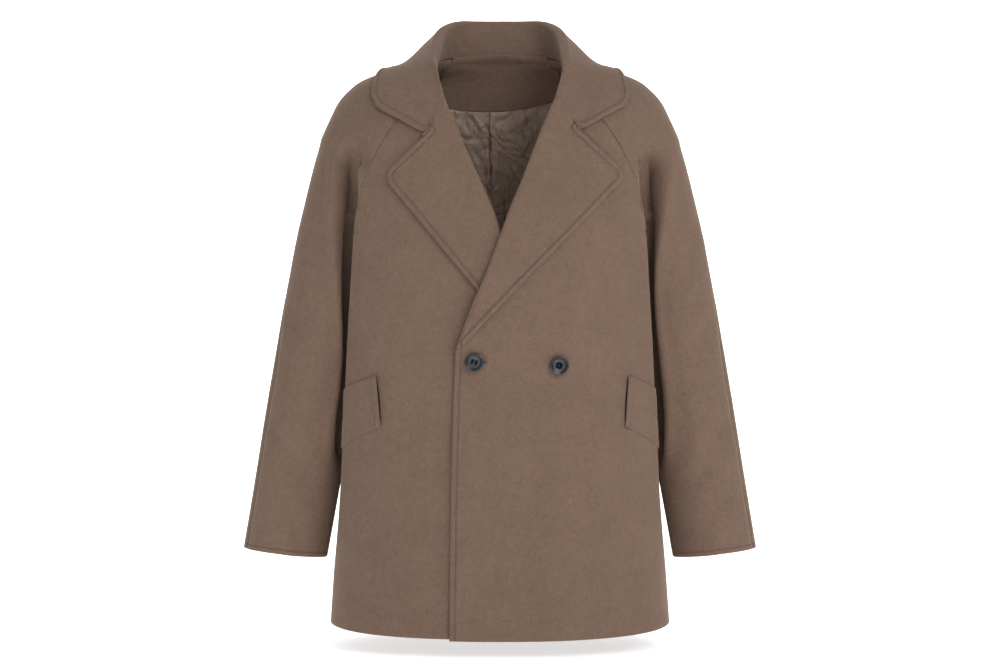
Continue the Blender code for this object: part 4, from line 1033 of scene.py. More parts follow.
# ---- pocket flaps and buttons ----
def flap(name, side, tree):
    """A slanted pocket flap, on from the front round the side."""
    level = (FLAP["top"][1] + FLAP["bottom"][1]) / 2
    shares = np.linspace(0, 1, 200)
    section = FRONT.read(FRONT.body, shares, level)
    steps = np.linalg.norm(np.diff(section, axis=0), axis=1)
    along = np.concatenate(((0.0,), np.cumsum(steps)))
    fold = float(np.interp(FRONT.fold_share(level), shares, along))
    begin = float(np.interp(FRONT.share_at(FLAP[side][0], level), shares, along))
    past = np.concatenate((np.linspace(begin, fold, 16), fold + np.linspace(0, FLAP_WRAP, 26)[1:]))
    rows = []
    for down in np.linspace(0, 1, FLAP_ROWS):
        row = []
        for place in past:
            slope = (place - begin) / (fold - begin)
            top, bottom = (FLAP[k][0] + (FLAP[k][1] - FLAP[k][0]) * slope
                           for k in ("top", "bottom"))
            z = top + (bottom - top) * down
            share = float(np.interp(place, along, shares))
            lean = (FLAP[side][1] - FLAP[side][0]) * down * max(1 - slope, 0)
            share += lean / along[-1] * 0.9
            normal = FRONT.normal(share, z)
            point = FRONT.read(FRONT.body, share, z)
            sewn = 1 - float(ease(min(down, 1 - down), 0.0, 0.10)) * 0.35
            sewn *= float(ease(place - begin, 0.008, 0.0))
            front = float(ease(begin + 0.012 - place, 0.0, 0.012))
            height = FLAP_OUT + FLAP_STEP * front + 0.0004 * (1 - sewn)
            row.append(laid(tree, point, normal, height))
        rows.append(row)
    return woven(name, rows, (0, -1, 0))


# ---- creases of the cloth ----
# A row gives a crease's width, its depth and its path x, z, x, z as seen from that side,
# all in tenths of a millimetre.
def mirrored_rows(rows):
    return [row[:2] + tuple(-v if n % 2 == 0 else v for n, v in enumerate(row[2:]))
            for row in rows]


SLEEVE_BACK_CREASES = (
    (120, 26, 3000, -3000, 2720, -3600, 2320, -4200),
    (130, 32, 3220, -4400, 2940, -5000, 2560, -5500),
    (80, 20, 2380, -4400, 2620, -4700, 2920, -4800),
    (130, 20, 2700, -1800, 2550, -2400, 2250, -3000),
    (110, 18, 3300, -5800, 3120, -6400, 2900, -7000),
)
# the sleeves tuck in behind the fold of the fronts
TUCKS = (
    (("sleeve_right_front",), (
        (120, 320, -2204, -1185, -2115, -1670, -2060, -2224, -2060, -2847, -2087, -3678, -2115,
         -4371, -2172, -5022, -2206, -5617, -2241, -6171, -2283, -6725),
    )),
    (("sleeve_left_front",), (
        (120, 320, 2166, -1185, 2077, -1670, 2035, -2224, 2035, -2847, 2063, -3678, 2105, -4371,
         2161, -5022, 2203, -5617, 2258, -6171, 2313, -6725),
    )),
)
# creases on each group of pieces
CREASES = (
    (("front_left",), (
        (45, 9, 1160, -2974, 1147, -3273, 1174, -3628),
        (45, 10, 1283, -2947, 1296, -3273, 1269, -3600),
        (50, 8, 1405, -3028, 1392, -3355, 1433, -3682),
        (100, 14, 915, -2756, 847, -3410, 861, -3927),
        (190, 34, 1051, -4336, 1092, -5453, 1160, -6678, 1256, -7932),
        (170, 22, 547, -4704, 493, -5861, 398, -6951, 329, -7932),
        (150, 24, 1528, -5044, 1623, -6134, 1773, -7087, 1909, -7836),
        (120, 12, -215, -4772, -243, -5861, -297, -6951, -352, -7932),
        (100, 14, 1909, -2252, 1855, -2865, 1787, -3682),
    )),
    (("front_right",), (
        (100, 38, -747, -4390, -774, -5453, -815, -6678, -842, -7932),
        (180, 28, -1114, -3410, -1223, -4635, -1291, -6134, -1373, -7904),
        (150, 26, -1564, -5316, -1686, -6406, -1768, -7496, -1823, -7877),
        (110, 15, -1741, -2184, -1714, -2865, -1768, -3818),
        (70, 9, -1414, -2524, -1346, -3069, -1373, -3682),
    )),
    (("front_left", "sleeve_left_front"), (
        (60, 13, 1909, -985, 1719, -1339, 1514, -1748),
        (70, 12, 2046, -1367, 1909, -1748, 1814, -2116),
    )),
    (("front_right", "sleeve_right_front"), (
        (60, 14, -1904, -985, -1714, -1312, -1468, -1585),
        (70, 12, -2013, -1367, -1877, -1748, -1782, -2116),
    )),
    (("front_left",), (
        (110, 13, 820, -7714, 1501, -7645, 2236, -7537),
    )),
    (("front_right",), (
        (120, 18, -787, -7686, -1428, -7659, -2177, -7468),
    )),
    (("sleeve_left_front",), (
        (130, 30, 3204, -3183, 2923, -3745, 2572, -4406),
        (150, 34, 3387, -4799, 3036, -5431, 2670, -6092),
        (80, 20, 2305, -4687, 2558, -4968, 2867, -5193),
        (130, 20, 2811, -2130, 2670, -2692, 2417, -3254),
        (80, 16, 2361, -3816, 2516, -4125, 2755, -4321),
        (120, 18, 3190, -5783, 3008, -6274, 2811, -6879),
    )),
    (("sleeve_right_front",), (
        (130, 30, -3076, -3226, -2823, -3816, -2514, -4434),
        (150, 34, -3343, -4827, -2964, -5445, -2500, -6120),
        (80, 20, -2303, -4729, -2542, -4996, -2837, -5221),
        (130, 20, -2725, -2102, -2598, -2692, -2388, -3282),
        (80, 16, -2331, -3886, -2500, -4181, -2739, -4378),
        (120, 18, -3146, -5783, -2950, -6317, -2767, -6879),
    )),
    (("back",), (
        (200, 34, 880, -2200, 940, -4000, 1040, -6000, 1120, -7800),
        (170, 22, 340, -3400, 320, -5200, 440, -7800),
        (140, 22, 1650, -2000, 1580, -3400, 1500, -4600),
        (150, 24, 1900, -5000, 1840, -6400, 1760, -7700),
        (90, 14, 1000, -1000, 820, -1500, 600, -1900),
        (200, 28, -880, -2200, -940, -4000, -1040, -6000, -1120, -7800),
        (170, 22, -460, -3400, -400, -5200, -440, -7800),
        (140, 22, -1650, -2000, -1580, -3400, -1500, -4600),
        (150, 24, -1900, -5000, -1840, -6400, -1760, -7700),
        (90, 14, -1000, -1000, -820, -1500, -600, -1900),
        (110, 14, -2000, -7620, -600, -7680, 900, -7640, 2000, -7580),
    )),
    (("sleeve_left_back",), SLEEVE_BACK_CREASES),
    (("sleeve_right_back",), mirrored_rows(SLEEVE_BACK_CREASES)),
)
# ---- crumples of the lining, in the same measures; a depth below 0 is a soft ridge ----
CRUMPLES = (
    (22, 30, -156, -609, -149, -1168, -134, -1682, -119, -2225),
    (22, -28, -9, -609, -2, -1168, 13, -1682, 42, -2490),
    (34, 34, -560, -609, -472, -844, -325, -1021, -207, -1256),
    (26, -26, -442, -624, -310, -786, -207, -991),
    (34, 34, -501, -1021, -384, -1168, -266, -1403, -222, -1696),
    (24, 26, -384, -698, -413, -947, -354, -1168),
    (40, 36, 630, -580, 454, -786, 248, -1035, 86, -1285),
    (28, -28, 439, -580, 292, -756, 130, -933),
    (36, 34, 674, -786, 498, -1050, 292, -1315, 116, -1550),
    (24, 24, 175, -609, 204, -815, 145, -1050),
    (34, -26, 410, -1138, 263, -1373, 116, -1667, 57, -1902),
    (30, 24, -325, -1755, -207, -1976, -119, -2225),
    (30, 28, -736, -609, -648, -786, -560, -1021),
    (26, 22, -296, -1461, -237, -1667, -105, -1902),
)
SEAM_ROUND = 0.0016       # the cloth turns in by this at a seam
ROLL_RIM = 0.0003         # and by this where it goes on as the lapel
LAPEL_RIM = 0.0019
COLLAR_RIM = 0.0015
FACING_RIM = 0.0008
LINING_RIM = 0.0004
FLAP_RIM = 0.0006
FLAP_FRONT_RIM = 0.0013
SEAM_DIP = 0.0009         # seams lie this much lower than the cloth beside them
SEAM_DIP_WIDTH = 0.0045
TUCK_TAPER = 0.12         # share of a tuck's length over which it runs out
GORGE_RIM = 0.0004        # rounding of the edges that meet at the gorge
# a near-black strip of painted shade lies in the gap beside the flap's front edge, where the
# pocket's mouth is
SHADE_STRIP_AWAY = 0.0012       # the pocket's mouth shows beside the flap's front edge
SHADE_STRIP_HALF = 0.0017       # half width, height over the front, and wall
SHADE_STRIP_OUT = 0.0008
SHADE_STRIP_WALL = 0.0008
HOLE_HALF = 0.0013        # the same of the buttonhole's whipped end
HOLE_OUT = 0.0016
HOLE_WALL = 0.0012
BUTTONHOLE = ((-0.0311, -0.4272), (-0.0243, -0.4262), (-0.0168, -0.4254))
FACING_TUCK = 0.0036      # the facing's top is folded in over the stand's seam
FACING_TOP = (0.0250, 0.0078)  # its height at centre back, and its fall to the sides
EDGE_PUFF = 0.0014        # finished edges swell a little outside their stitching
STITCH_IN = 0.0075        # the stitching runs this far inside a finished edge
COLLAR_ROUND = 0.020
LINING_EASE = 0.0012      # the lining hangs this far in, between its crumples
LINING_MOST = 0.02


def smooth_path(path, spacing=0.002):
    path = np.array(path, float)
    steps = np.hypot(*np.diff(path, axis=0).T)
    along = np.concatenate(((0.0,), np.cumsum(steps)))
    table = {"s": along, "x": path[:, 0], "z": path[:, 1]}
    at = np.linspace(0, along[-1], max(int(along[-1] / spacing), 3))
    return np.stack((smooth_at(table, "x", at), smooth_at(table, "z", at)), axis=1)


def on_cloth(tree, path, facing):
    """The path laid on the cloth, seen from the front (-1) or the back (1)."""
    points = []
    for x, z in smooth_path(path):
        hit = tree.ray_cast(Vector((x, facing * 0.6, z)), Vector((0, -facing, 0)))[0]
        if hit is not None:
            points.append(tuple(hit))
    return np.array(points)


NEAR = 0.06               # a line reaches points up to this far away
STITCH_SPACING = 0.0008   # of the points along an edge that is measured
UNSTITCHED = 0.3          # the distance given where no stitching is near
PUFF_IN, PUFF_WIDTH = 0.0034, 0.0030  # where the edge swells most, and how widely


def nearest(points, line):
    """Distance of each point to a line of points, and which of them is nearest."""
    away = np.full(len(points), 1.0)
    which = np.zeros(len(points), int)
    low, high = line.min(axis=0) - NEAR, line.max(axis=0) + NEAR
    near = np.nonzero(((points > low) & (points < high)).all(axis=1))[0]
    for part in np.array_split(near, max(len(near) // 2000, 1)):
        d = np.linalg.norm(points[part][:, None] - line[None], axis=2)
        away[part] = d.min(axis=1)
        which[part] = d.argmin(axis=1)
    return away, which


def crease_depth(points, line, width, depth, taper=0.3):
    """How deep a crease is at each point: a soft trough with slightly raised sides."""
    away, which = nearest(points, line)
    share = which / max(len(line) - 1, 1)
    ends = ease(share, 0.0, taper) * ease(1 - share, 0.0, taper)
    wander = 1 + 0.25 * np.sin(share * 9.0 + line[0][0] * 90)
    u = away / (width * wander)
    return depth * ends * (np.exp(-u**2) - 0.22 * np.exp(-((u - 1.9) / 0.7)**2))


def unevenness(points):
    """A wandering depth of up to half a millimetre, as on steamed cloth."""
    soft = [noise.noise(Vector(p) * 11.0) + 0.5 * noise.noise(Vector(p) * 27.0) for p in points]
    return 0.0003 * (np.array(soft) + 1.5)


def border_of(sheet):
    """The sheet's border edges, each as its two points."""
    uses = set()
    for face in sheet.faces:
        uses.update(zip(face, face[1:] + face[:1]))
    return [(a, b) for a, b in uses if (b, a) not in uses]


def outward(points, normals, border):
    """For the border's points, the direction outward in the surface; else nothing."""
    out = np.zeros_like(points)
    a, b = np.array(border).T
    d = np.cross(points[b] - points[a], normals[a] + normals[b])
    d /= np.maximum(np.linalg.norm(d, axis=1), 1e-12)[:, None]
    np.add.at(out, a, d)
    np.add.at(out, b, d)
    size = np.linalg.norm(out, axis=1)
    rim = size > 1e-9
    out[rim] /= size[rim][:, None]
    out[rim] *= np.clip(2 / np.maximum(size[rim], 0.4), 1.0, 1.4)[:, None]
    return out


def stitched(sheet, line):
    """Distance from the topstitched edge and place along it, for each point."""
    points = np.array(sheet.points)
    if line is None:
        return np.stack((np.full(len(points), UNSTITCHED), points[:, 2]), axis=1)
    length = np.linalg.norm(np.diff(line, axis=0), axis=1).sum()
    away, which = nearest(points, resample(line, int(length / STITCH_SPACING) + 2))
    return np.stack((np.minimum(away, UNSTITCHED), which * STITCH_SPACING), axis=1)


def shell(name, sheet, normals, thickness, finish, rim, stitch_line=None, puff=0.0):
    """A thin closed shell: outer side, inner side and a rounded rim round the border."""
    points = np.array(sheet.points)
    thickness = np.broadcast_to(np.reshape(thickness, (-1,)), (len(points),))
    border = border_of(sheet)
    out = outward(points, normals, border)
    places = stitched(sheet, stitch_line)
    if puff:
        swell = np.exp(-((places[:, :1] - PUFF_IN) / PUFF_WIDTH)**2)
        points = points + normals * (puff * swell)
    radius = np.minimum(rim, thickness * 0.47)[:, None]
    points = points - out * (radius + SEAM)
    inner = points - normals * thickness[:, None]
    ids = sorted({v for edge in border for v in edge})
    slot_of = {v: n for n, v in enumerate(ids)}
    rings = []
    r, n, t, o = radius[ids], normals[ids], thickness[ids][:, None], out[ids]
    for turn, under in ((45, 0), (90, 0), (90, 1), (45, 1)):
        down = r * (1 - cos(radians(turn)))
        rings.append(points[ids] + o * r * sin(radians(turn)) - n * (t - down if under else down))
    count = len(points)
    starts = [2 * count + k * len(ids) for k in range(4)]
    faces = [list(face) for face in sheet.faces]
    faces += [[v + count for v in face[::-1]] for face in sheet.faces]
    for a, b in border:
        left = [a] + [s + slot_of[a] for s in starts] + [a + count]
        right = [b] + [s + slot_of[b] for s in starts] + [b + count]
        for k in range(5):
            faces.append([right[k], left[k], left[k + 1], right[k + 1]])
    every = np.vstack([points, inner] + rings)
    uv = np.vstack([places, places] + [places[ids]] * 4)
    mesh = bpy.data.meshes.new(name)
    mesh.from_pydata([tuple(p) for p in every], [], faces)
    layer = mesh.uv_layers.new(name="stitching")
    loops = np.zeros(len(mesh.loops), int)
    mesh.loops.foreach_get("vertex_index", loops)
    layer.data.foreach_set("uv", uv[loops].astype(np.float32).ravel())
    mesh.shade_smooth()
    mesh.materials.append(finish)
    piece = bpy.data.objects.new(name, mesh)
    bpy.context.collection.objects.link(piece)
    return piece


# ---- finishes ----
def fill(node, values):
    """Sets a node's own sockets by name; a color gets its alpha."""
    for key, value in values.items():
        node.inputs[key].default_value = (*value, 1.0) if isinstance(value, tuple) else value
    return node


def ramp(tree, source, low, high, a=0.0, b=1.0):
    node = fill(tree.nodes.new("ShaderNodeMapRange"),
                {"From Min": low, "From Max": high, "To Min": a, "To Max": b})
    tree.links.new(source, node.inputs["Value"])
    return node.outputs["Result"]


def reckoned(tree, operation, *terms):
    node = tree.nodes.new("ShaderNodeMath")
    node.operation = operation
    for k, value in enumerate(terms):
        if isinstance(value, (int, float)):
            node.inputs[k].default_value = value
        else:
            tree.links.new(value, node.inputs[k])
    return node.outputs[0]


def noise_of(tree, vector, scale, detail=2.0, rough=0.5, swirl=0.0):
    node = fill(tree.nodes.new("ShaderNodeTexNoise"),
                {"Scale": scale, "Detail": detail, "Roughness": rough, "Distortion": swirl})
    tree.links.new(vector, node.inputs["Vector"])
    return node.outputs["Fac"]


def bump_of(tree, height, strength, distance, before=None):
    node = fill(tree.nodes.new("ShaderNodeBump"), {"Strength": strength, "Distance": distance})
    tree.links.new(height, node.inputs["Height"])
    if before is not None:
        tree.links.new(before, node.inputs["Normal"])
    return node.outputs["Normal"]


def mixed_color(tree, factor, first, second):
    node = tree.nodes.new("ShaderNodeMix")
    node.data_type = "RGBA"
    fill(node, {"A": first, "B": second})
    tree.links.new(factor, node.inputs["Factor"])
    return node.outputs["Result"]


def new_finish(name, color, roughness, **more):
    """A material with its shader and the shader's constants."""
    found = bpy.data.materials.new(name)
    found.use_nodes = True
    tree = found.node_tree
    shader = fill(tree.nodes["Principled BSDF"], {"Base Color": color, "Roughness": roughness})
    fill(shader, {key.replace("_", " ").title().replace("Ior", "IOR"): value
                  for key, value in more.items()})
    return found, tree, shader


def object_place(tree):
    return tree.nodes.new("ShaderNodeTexCoord").outputs["Object"]


WOOL_DARK = (0.128, 0.080, 0.056)
WOOL_LIGHT = (0.232, 0.156, 0.115)
STITCH_LENGTH = 0.0034
# the same half width holds for the shade painted into the channel's colour
CHANNEL_HALF = 0.0027     # half width of the dip that the stitching pulls in
# scale, detail and roughness of each layer of the nap, and its share in the color
NAP = {"fibre": (900.0, 3.0, 0.70, 0.75), "tuft": (260.0, 4.0, 0.65, 0.95),
       "felt": (95.0, 3.0, 0.60, 0.40), "cloud": (22.0, 2.0, 0.50, 0.28)}


def napped_wool():
    """Felted coating: short fibres, clouded colour, a stitched channel along the edges, with
    painted shade darkening the channel.
    """
    found, tree, shader = new_finish(
        "napped wool", WOOL_LIGHT, 0.95, specular_ior_level=0.18, sheen_weight=0.32,
        sheen_roughness=0.45, sheen_tint=(0.80, 0.66, 0.56))
    place = object_place(tree)
    layers, factor = {}, None
    for name, (scale, detail, rough, share) in NAP.items():
        layers[name] = noise_of(tree, place, scale, detail, rough)
        about = reckoned(tree, "SUBTRACT", layers[name], 0.5)
        factor = (reckoned(tree, "MULTIPLY", about, share) if factor is None
                  else reckoned(tree, "MULTIPLY_ADD", about, share, factor))
    factor = reckoned(tree, "ADD", factor, 0.5)
    uv = tree.nodes.new("ShaderNodeUVMap")
    uv.uv_map = "stitching"
    split = tree.nodes.new("ShaderNodeSeparateXYZ")
    tree.links.new(uv.outputs["UV"], split.inputs[0])
    away, along = split.outputs[0], split.outputs[1]
    about = reckoned(tree, "SUBTRACT", layers["cloud"], 0.5)
    wander = reckoned(tree, "MULTIPLY_ADD", about, 0.0012, away)
    off = reckoned(tree, "ABSOLUTE", reckoned(tree, "SUBTRACT", wander, STITCH_IN))
    channel = reckoned(tree, "POWER", ramp(tree, off, 0.0, CHANNEL_HALF, 1.0, 0.0), 1.6)
    wave = reckoned(tree, "SINE", reckoned(tree, "MULTIPLY", along, 2 * pi / STITCH_LENGTH))
    wave = reckoned(tree, "MULTIPLY_ADD", wave, 0.16, 0.84)
    stitch_dip_and_shade = reckoned(tree, "MULTIPLY", channel, wave)
    # the channel's dip is also darkened in the colour: painted shade
    factor = reckoned(tree, "SUBTRACT", factor, reckoned(tree, "MULTIPLY", stitch_dip_and_shade, 0.26))
    tree.links.new(mixed_color(tree, factor, WOOL_DARK, WOOL_LIGHT), shader.inputs["Base Color"])
    fine = reckoned(tree, "MULTIPLY", layers["fibre"], 0.4)
    height = reckoned(tree, "MULTIPLY_ADD", layers["tuft"], 0.6, fine)
    nap = bump_of(tree, height, 0.42, 0.0009)
    nap = bump_of(tree, layers["felt"], 0.30, 0.0014, nap)
    nap = bump_of(tree, reckoned(tree, "MULTIPLY", stitch_dip_and_shade, -1.0), 1.0, 0.0014, nap)
    tree.links.new(nap, shader.inputs["Normal"])
    return found


def satin_lining():
    """Smooth lining: soft sheen along its fine weave."""
    found, tree, shader = new_finish("satin lining", (0.20, 0.15, 0.12), 0.46,
                                     specular_ior_level=0.42, sheen_weight=0.15,
                                     sheen_roughness=0.3)
    place = object_place(tree)
    cloud = noise_of(tree, place, 30.0, 3.0, 0.5)
    weave = noise_of(tree, place, 1400.0, 1.0, 0.5)
    about = reckoned(tree, "SUBTRACT", weave, 0.5)
    factor = reckoned(tree, "MULTIPLY_ADD", about, 0.3, cloud)
    color = mixed_color(tree, factor, (0.300, 0.215, 0.162), (0.400, 0.295, 0.230))
    tree.links.new(color, shader.inputs["Base Color"])
    wrinkle = noise_of(tree, place, 27.0, 1.5, 0.45, 1.9)
    soft = bump_of(tree, wrinkle, 1.0, 0.0135)
    tree.links.new(bump_of(tree, weave, 0.15, 0.0003, soft), shader.inputs["Normal"])
    return found


def streaked(name, dark, light, pattern, bump, roughness, **more):
    """A finish with one fine pattern, from its dark to its light color."""
    found, tree, shader = new_finish(name, light, roughness, **more)
    streak = noise_of(tree, object_place(tree), *pattern)
    tree.links.new(mixed_color(tree, streak, dark, light), shader.inputs["Base Color"])
    tree.links.new(bump_of(tree, streak, *bump), shader.inputs["Normal"])
    return found


def horn_plastic(name, dark, light):
    return streaked(name, dark, light, (240.0, 3.0, 0.6), (0.06, 0.0004), 0.26,
                    specular_ior_level=0.45, coat_weight=0.15, coat_roughness=0.12)


def sewing_thread(name, color, fuzz=0.3):
    dark = tuple(c * 0.6 for c in color)
    return streaked(name, dark, color, (3200.0, 2.0, 0.5), (0.5, 0.0003), 0.7,
                    sheen_weight=fuzz, specular_ior_level=0.15)


# ---- buttons ----
BUTTON_HEIGHT = 0.0045
BUTTON_TURN = -16         # degrees
DISC_RADIUS = 0.0128
DISC_HEIGHT = 0.0036
HOLE_RADIUS = 0.00105
HOLE_CIRCLE = 0.0032
# inside this radius the button's face gets a lighter copy of its plastic: a painted reflection
PAINTED_REFLECTION_RADIUS = 0.0078
# insets of the face from its edge, each with how far it is then raised or sunk
FACE_TURNING = ((0.0011, 0.0005), (0.0016, -0.0004), (0.0009, -0.0012), (0.0010, -0.0003))
THREAD_X, THREAD_Y = 0.0026, 0.0028  # ends of the thread bars
THREAD_RISE = 0.0041      # height of the bars on the button
THREAD_OVER = 0.0003      # every second bar lies this much higher
THREAD_RADIUS = 0.0014


def put_down_everything():
    for piece in bpy.context.selected_objects:
        piece.select_set(False)


def apply_place():
    bpy.ops.object.transform_apply(location=True, rotation=True, scale=True)


def turned_button(name, finish, centre_finish):
    """A four-hole button, lying at the origin with its face up."""
    put_down_everything()
    bpy.ops.mesh.primitive_cylinder_add(vertices=72, radius=DISC_RADIUS, depth=DISC_HEIGHT,
                                        location=(0, 0, 0.0022))
    disc = bpy.context.object
    disc.name = name
    apply_place()
    bpy.ops.object.mode_set(mode="EDIT")
    bpy.ops.mesh.select_mode(type="FACE")
    for inset, rise in FACE_TURNING:
        bpy.ops.mesh.select_all(action="DESELECT")
        edit = bmesh.from_edit_mesh(disc.data)
        tops = [f for f in edit.faces if f.normal.z > 0.99 and len(f.verts) > 10]
        for face in tops:
            face.select = True
        bmesh.update_edit_mesh(disc.data)
        bpy.ops.mesh.inset(thickness=inset, depth=0)
        bpy.ops.transform.translate(value=(0, 0, rise))
    bpy.ops.object.mode_set(mode="OBJECT")
    for k in range(4):
        turn = pi / 4 + k * pi / 2
        put_down_everything()
        bpy.ops.mesh.primitive_cylinder_add(
            vertices=24, radius=HOLE_RADIUS, depth=0.02,
            location=(HOLE_CIRCLE * cos(turn), HOLE_CIRCLE * sin(turn), 0))
        drill = bpy.context.object
        put_down_everything()
        disc.select_set(True)
        bpy.context.view_layer.objects.active = disc
        cut = disc.modifiers.new("hole", "BOOLEAN")
        cut.operation = "DIFFERENCE"
        cut.object = drill
        bpy.ops.object.modifier_apply(modifier=cut.name)
        bpy.data.objects.remove(drill, do_unlink=True)
    round_off = disc.modifiers.new("round", "BEVEL")
    round_off.width = 0.0005
    round_off.segments = 3
    round_off.limit_method = "ANGLE"
    round_off.angle_limit = radians(35)
    bpy.ops.object.modifier_apply(modifier=round_off.name)
    bpy.ops.object.shade_smooth_by_angle(angle=radians(40))
    disc.data.materials.append(finish)
    disc.data.materials.append(centre_finish)
    # faces of the centre take the lighter copy of the plastic: painted reflection
    for face in disc.data.polygons:
        if face.center.z > 0.001 and np.hypot(face.center.x, face.center.y) < PAINTED_REFLECTION_RADIUS:
            face.material_index = 1
    return disc


def thread_bar(name, finish, start, end, height, radius):
    """A wound bar of thread between two holes, lying on the button's face."""
    put_down_everything()
    start, end = np.array(start), np.array(end)
    middle, run = (start + end) / 2, end - start
    length = float(np.linalg.norm(run)) + 0.0012
    bpy.ops.mesh.primitive_cylinder_add(vertices=16, radius=radius, depth=length,
                                        location=(middle[0], middle[1], height),
                                        rotation=(0, radians(90), atan2(*run[::-1])))
    bar = bpy.context.object
    bar.name = name
    apply_place()
    bpy.ops.object.mode_set(mode="EDIT")
    bpy.ops.mesh.select_all(action="SELECT")
    bpy.ops.mesh.subdivide(number_cuts=5)
    bpy.ops.object.mode_set(mode="OBJECT")
    for point in bar.data.vertices:
        share = np.dot(np.array(point.co)[:2] - middle, run) / np.dot(run, run)
        point.co.z -= 0.0014 * (2 * abs(share)) ** 4
    bpy.ops.object.shade_smooth()
    bar.data.materials.append(finish)
    return bar


def seat_pieces(pieces, seat, axis, turn=0.0):
    """Moves pieces made at the origin to a place on the cloth."""
    axis = Vector(axis)
    across = Vector((1, 0, 0)) - axis * axis.x
    across.normalize()
    up = axis.cross(across)
    place = Matrix((across, up, axis)).transposed().to_4x4()
    place.translation = Vector(seat)
    place = place @ Matrix.Rotation(turn, 4, "Z")
    for piece in pieces:
        piece.data.transform(place)


def sew_on_buttons():
    """Both buttons: the left one sewn round its holes, the right one in two bars."""
    horn = horn_plastic("dark button plastic", (0.010, 0.012, 0.015), (0.022, 0.025, 0.031))
    # the centre's finish is the same plastic in lighter colours: a painted reflection
    painted_reflection = horn_plastic("button centre painted reflection", (0.034, 0.038, 0.043),
                            (0.062, 0.069, 0.077))
    dark_thread = sewing_thread("button thread", (0.004, 0.004, 0.005), 0.0)
    model = turned_button("button", horn, painted_reflection)
    a, b, c, d = ((THREAD_X, THREAD_Y), (-THREAD_X, THREAD_Y), (-THREAD_X, -THREAD_Y),
                  (THREAD_X, -THREAD_Y))
    for side, pairs in (("left", ((a, b), (c, d), (b, c), (d, a))), ("right", ((a, d), (b, c)))):
        node = "button_" + side
        x, z = BUTTONS[side]
        axis = FRONT.normal(FRONT.share_at(x, z), z)
        low, high = (np.array(corner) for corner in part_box(node))
        seat = (low + high) / 2 - axis * BUTTON_HEIGHT / 2
        disc = bpy.data.objects.new("coat_" + node, model.data.copy())
        bpy.context.collection.objects.link(disc)
        bars = [thread_bar("button_thread_%s_%d" % (side, n), dark_thread, p, q,
                           THREAD_RISE + THREAD_OVER * (n % 2), THREAD_RADIUS)
                for n, (p, q) in enumerate(pairs)]
        seat_pieces([disc] + bars, seat, axis, radians(BUTTON_TURN))
        for piece in [disc] + bars:
            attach(piece, "root")
        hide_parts(node)
    bpy.data.objects.remove(model, do_unlink=True)


def strip_on_front(name, tree, path, width, out):
    """A narrow strip that lies on the front along a path, wide in its middle."""
    line = smooth_path(path, 0.0016)
    rows = []
    for n, (x, z) in enumerate(line):
        ahead = unit(line[min(n + 1, len(line) - 1)] - line[max(n - 1, 0)])
        aside = np.array((-ahead[1], ahead[0]))
        share = n / (len(line) - 1)
        half = width * (sin(pi * (0.06 + 0.88 * share))) ** 0.6
        rows.append([laid_on_front(tree, x + aside[0] * half * k, z + aside[1] * half * k,
                                   out * (1 - 0.75 * abs(k))) for k in (-1, -0.5, 0, 0.5, 1)])
    return woven(name, rows, (0, -1, 0))


# ---- the whole coat ----
def displaced(sheet, normals, moves):
    """The sheet with its points moved in by the given depths."""
    other = Sheet(sheet.name)
    points = np.array(sheet.points) - normals * moves[:, None]
    other.points = list(points)
    other.faces = sheet.faces
    other.rows = sheet.rows
    return other


def seam_lines(sheet):
    """Borders that are sewn to a neighbour."""
    rows = sheet.rows
    if sheet.name == "back":
        return [np.array([r[0] for r in rows]), np.array([r[-1] for r in rows])]
    if sheet.name.startswith("front"):
        return [np.array([r[-1] for r in rows])]
    return [np.array([r[-1] for r in rows]), np.array([r[0] for r in rows[CAP_ROWS:]])]


def in_metres(row):
    """Width, depth and path of a crease, from a row in tenths of a millimetre."""
    width, depth, *path = (number / 10000 for number in row)
    return width, depth, list(zip(path[::2], path[1::2]))


def laid_creases(table, trees):
    """All creases of a table as (pieces, line on the cloth, width, depth)."""
    found = []
    for pieces, rows in table:
        tree = trees["sleeve" if "sleeve" in pieces[0] else "body"]
        facing = 1 if pieces[0].endswith("back") else -1
        for width, depth, path in map(in_metres, rows):
            line = on_cloth(tree, path, facing)
            if len(line) > 2:
                found.append((pieces, line, width, depth))
    return found


def crease_all(sheets, normals, cleft):
    """The sheets with their creases, tucks, dipped seams and unevenness."""
    trees = {"body": tree_of([s for s in sheets if "sleeve" not in s.name]),
             "sleeve": tree_of([s for s in sheets if "sleeve" in s.name])}
    creases, tucks = laid_creases(CREASES, trees), laid_creases(TUCKS, trees)
    seams = [line for sheet in sheets for line in seam_lines(sheet)]
    armholes = [seam_lines(s)[0] for s in sheets if s.name.startswith("front")]
    moved = []
    for sheet, n in zip(sheets, normals):
        points = np.array(sheet.points)
        away = away_from_cleft(sheet, cleft)
        depth = unevenness(points)
        for pieces, line, width, deep in creases:
            if sheet.name in pieces:
                depth = depth + crease_depth(points, line, width, deep)
        for line in seams:
            d = nearest(points, resample(line, 3 * len(line)))[0]
            depth = depth + SEAM_DIP * np.exp(-(d / SEAM_DIP_WIDTH)**2)
        sewn = np.min([nearest(points, resample(k, 3 * len(k)))[0] for k in armholes], axis=0)
        tucked = np.zeros(len(points))
        for pieces, line, width, deep in tucks:
            if sheet.name in pieces:
                made = crease_depth(points, line, width, deep, TUCK_TAPER)
                tucked = tucked + made * ease(away, 0.002, 0.009) * ease(sewn, 0.002, 0.015)
        moved.append(displaced(sheet, n, depth * ease(away, 0.006, 0.045) + tucked))
    return moved


def gorge_column(rows, across):
    """How many columns past the fold the collar stays sewn to the lapel."""
    end = np.array(LAPELS["left"]["notch"])
    fall = rows[-1, across:][:, [0, 2]]
    return int(np.hypot(*(fall - end).T).argmin())


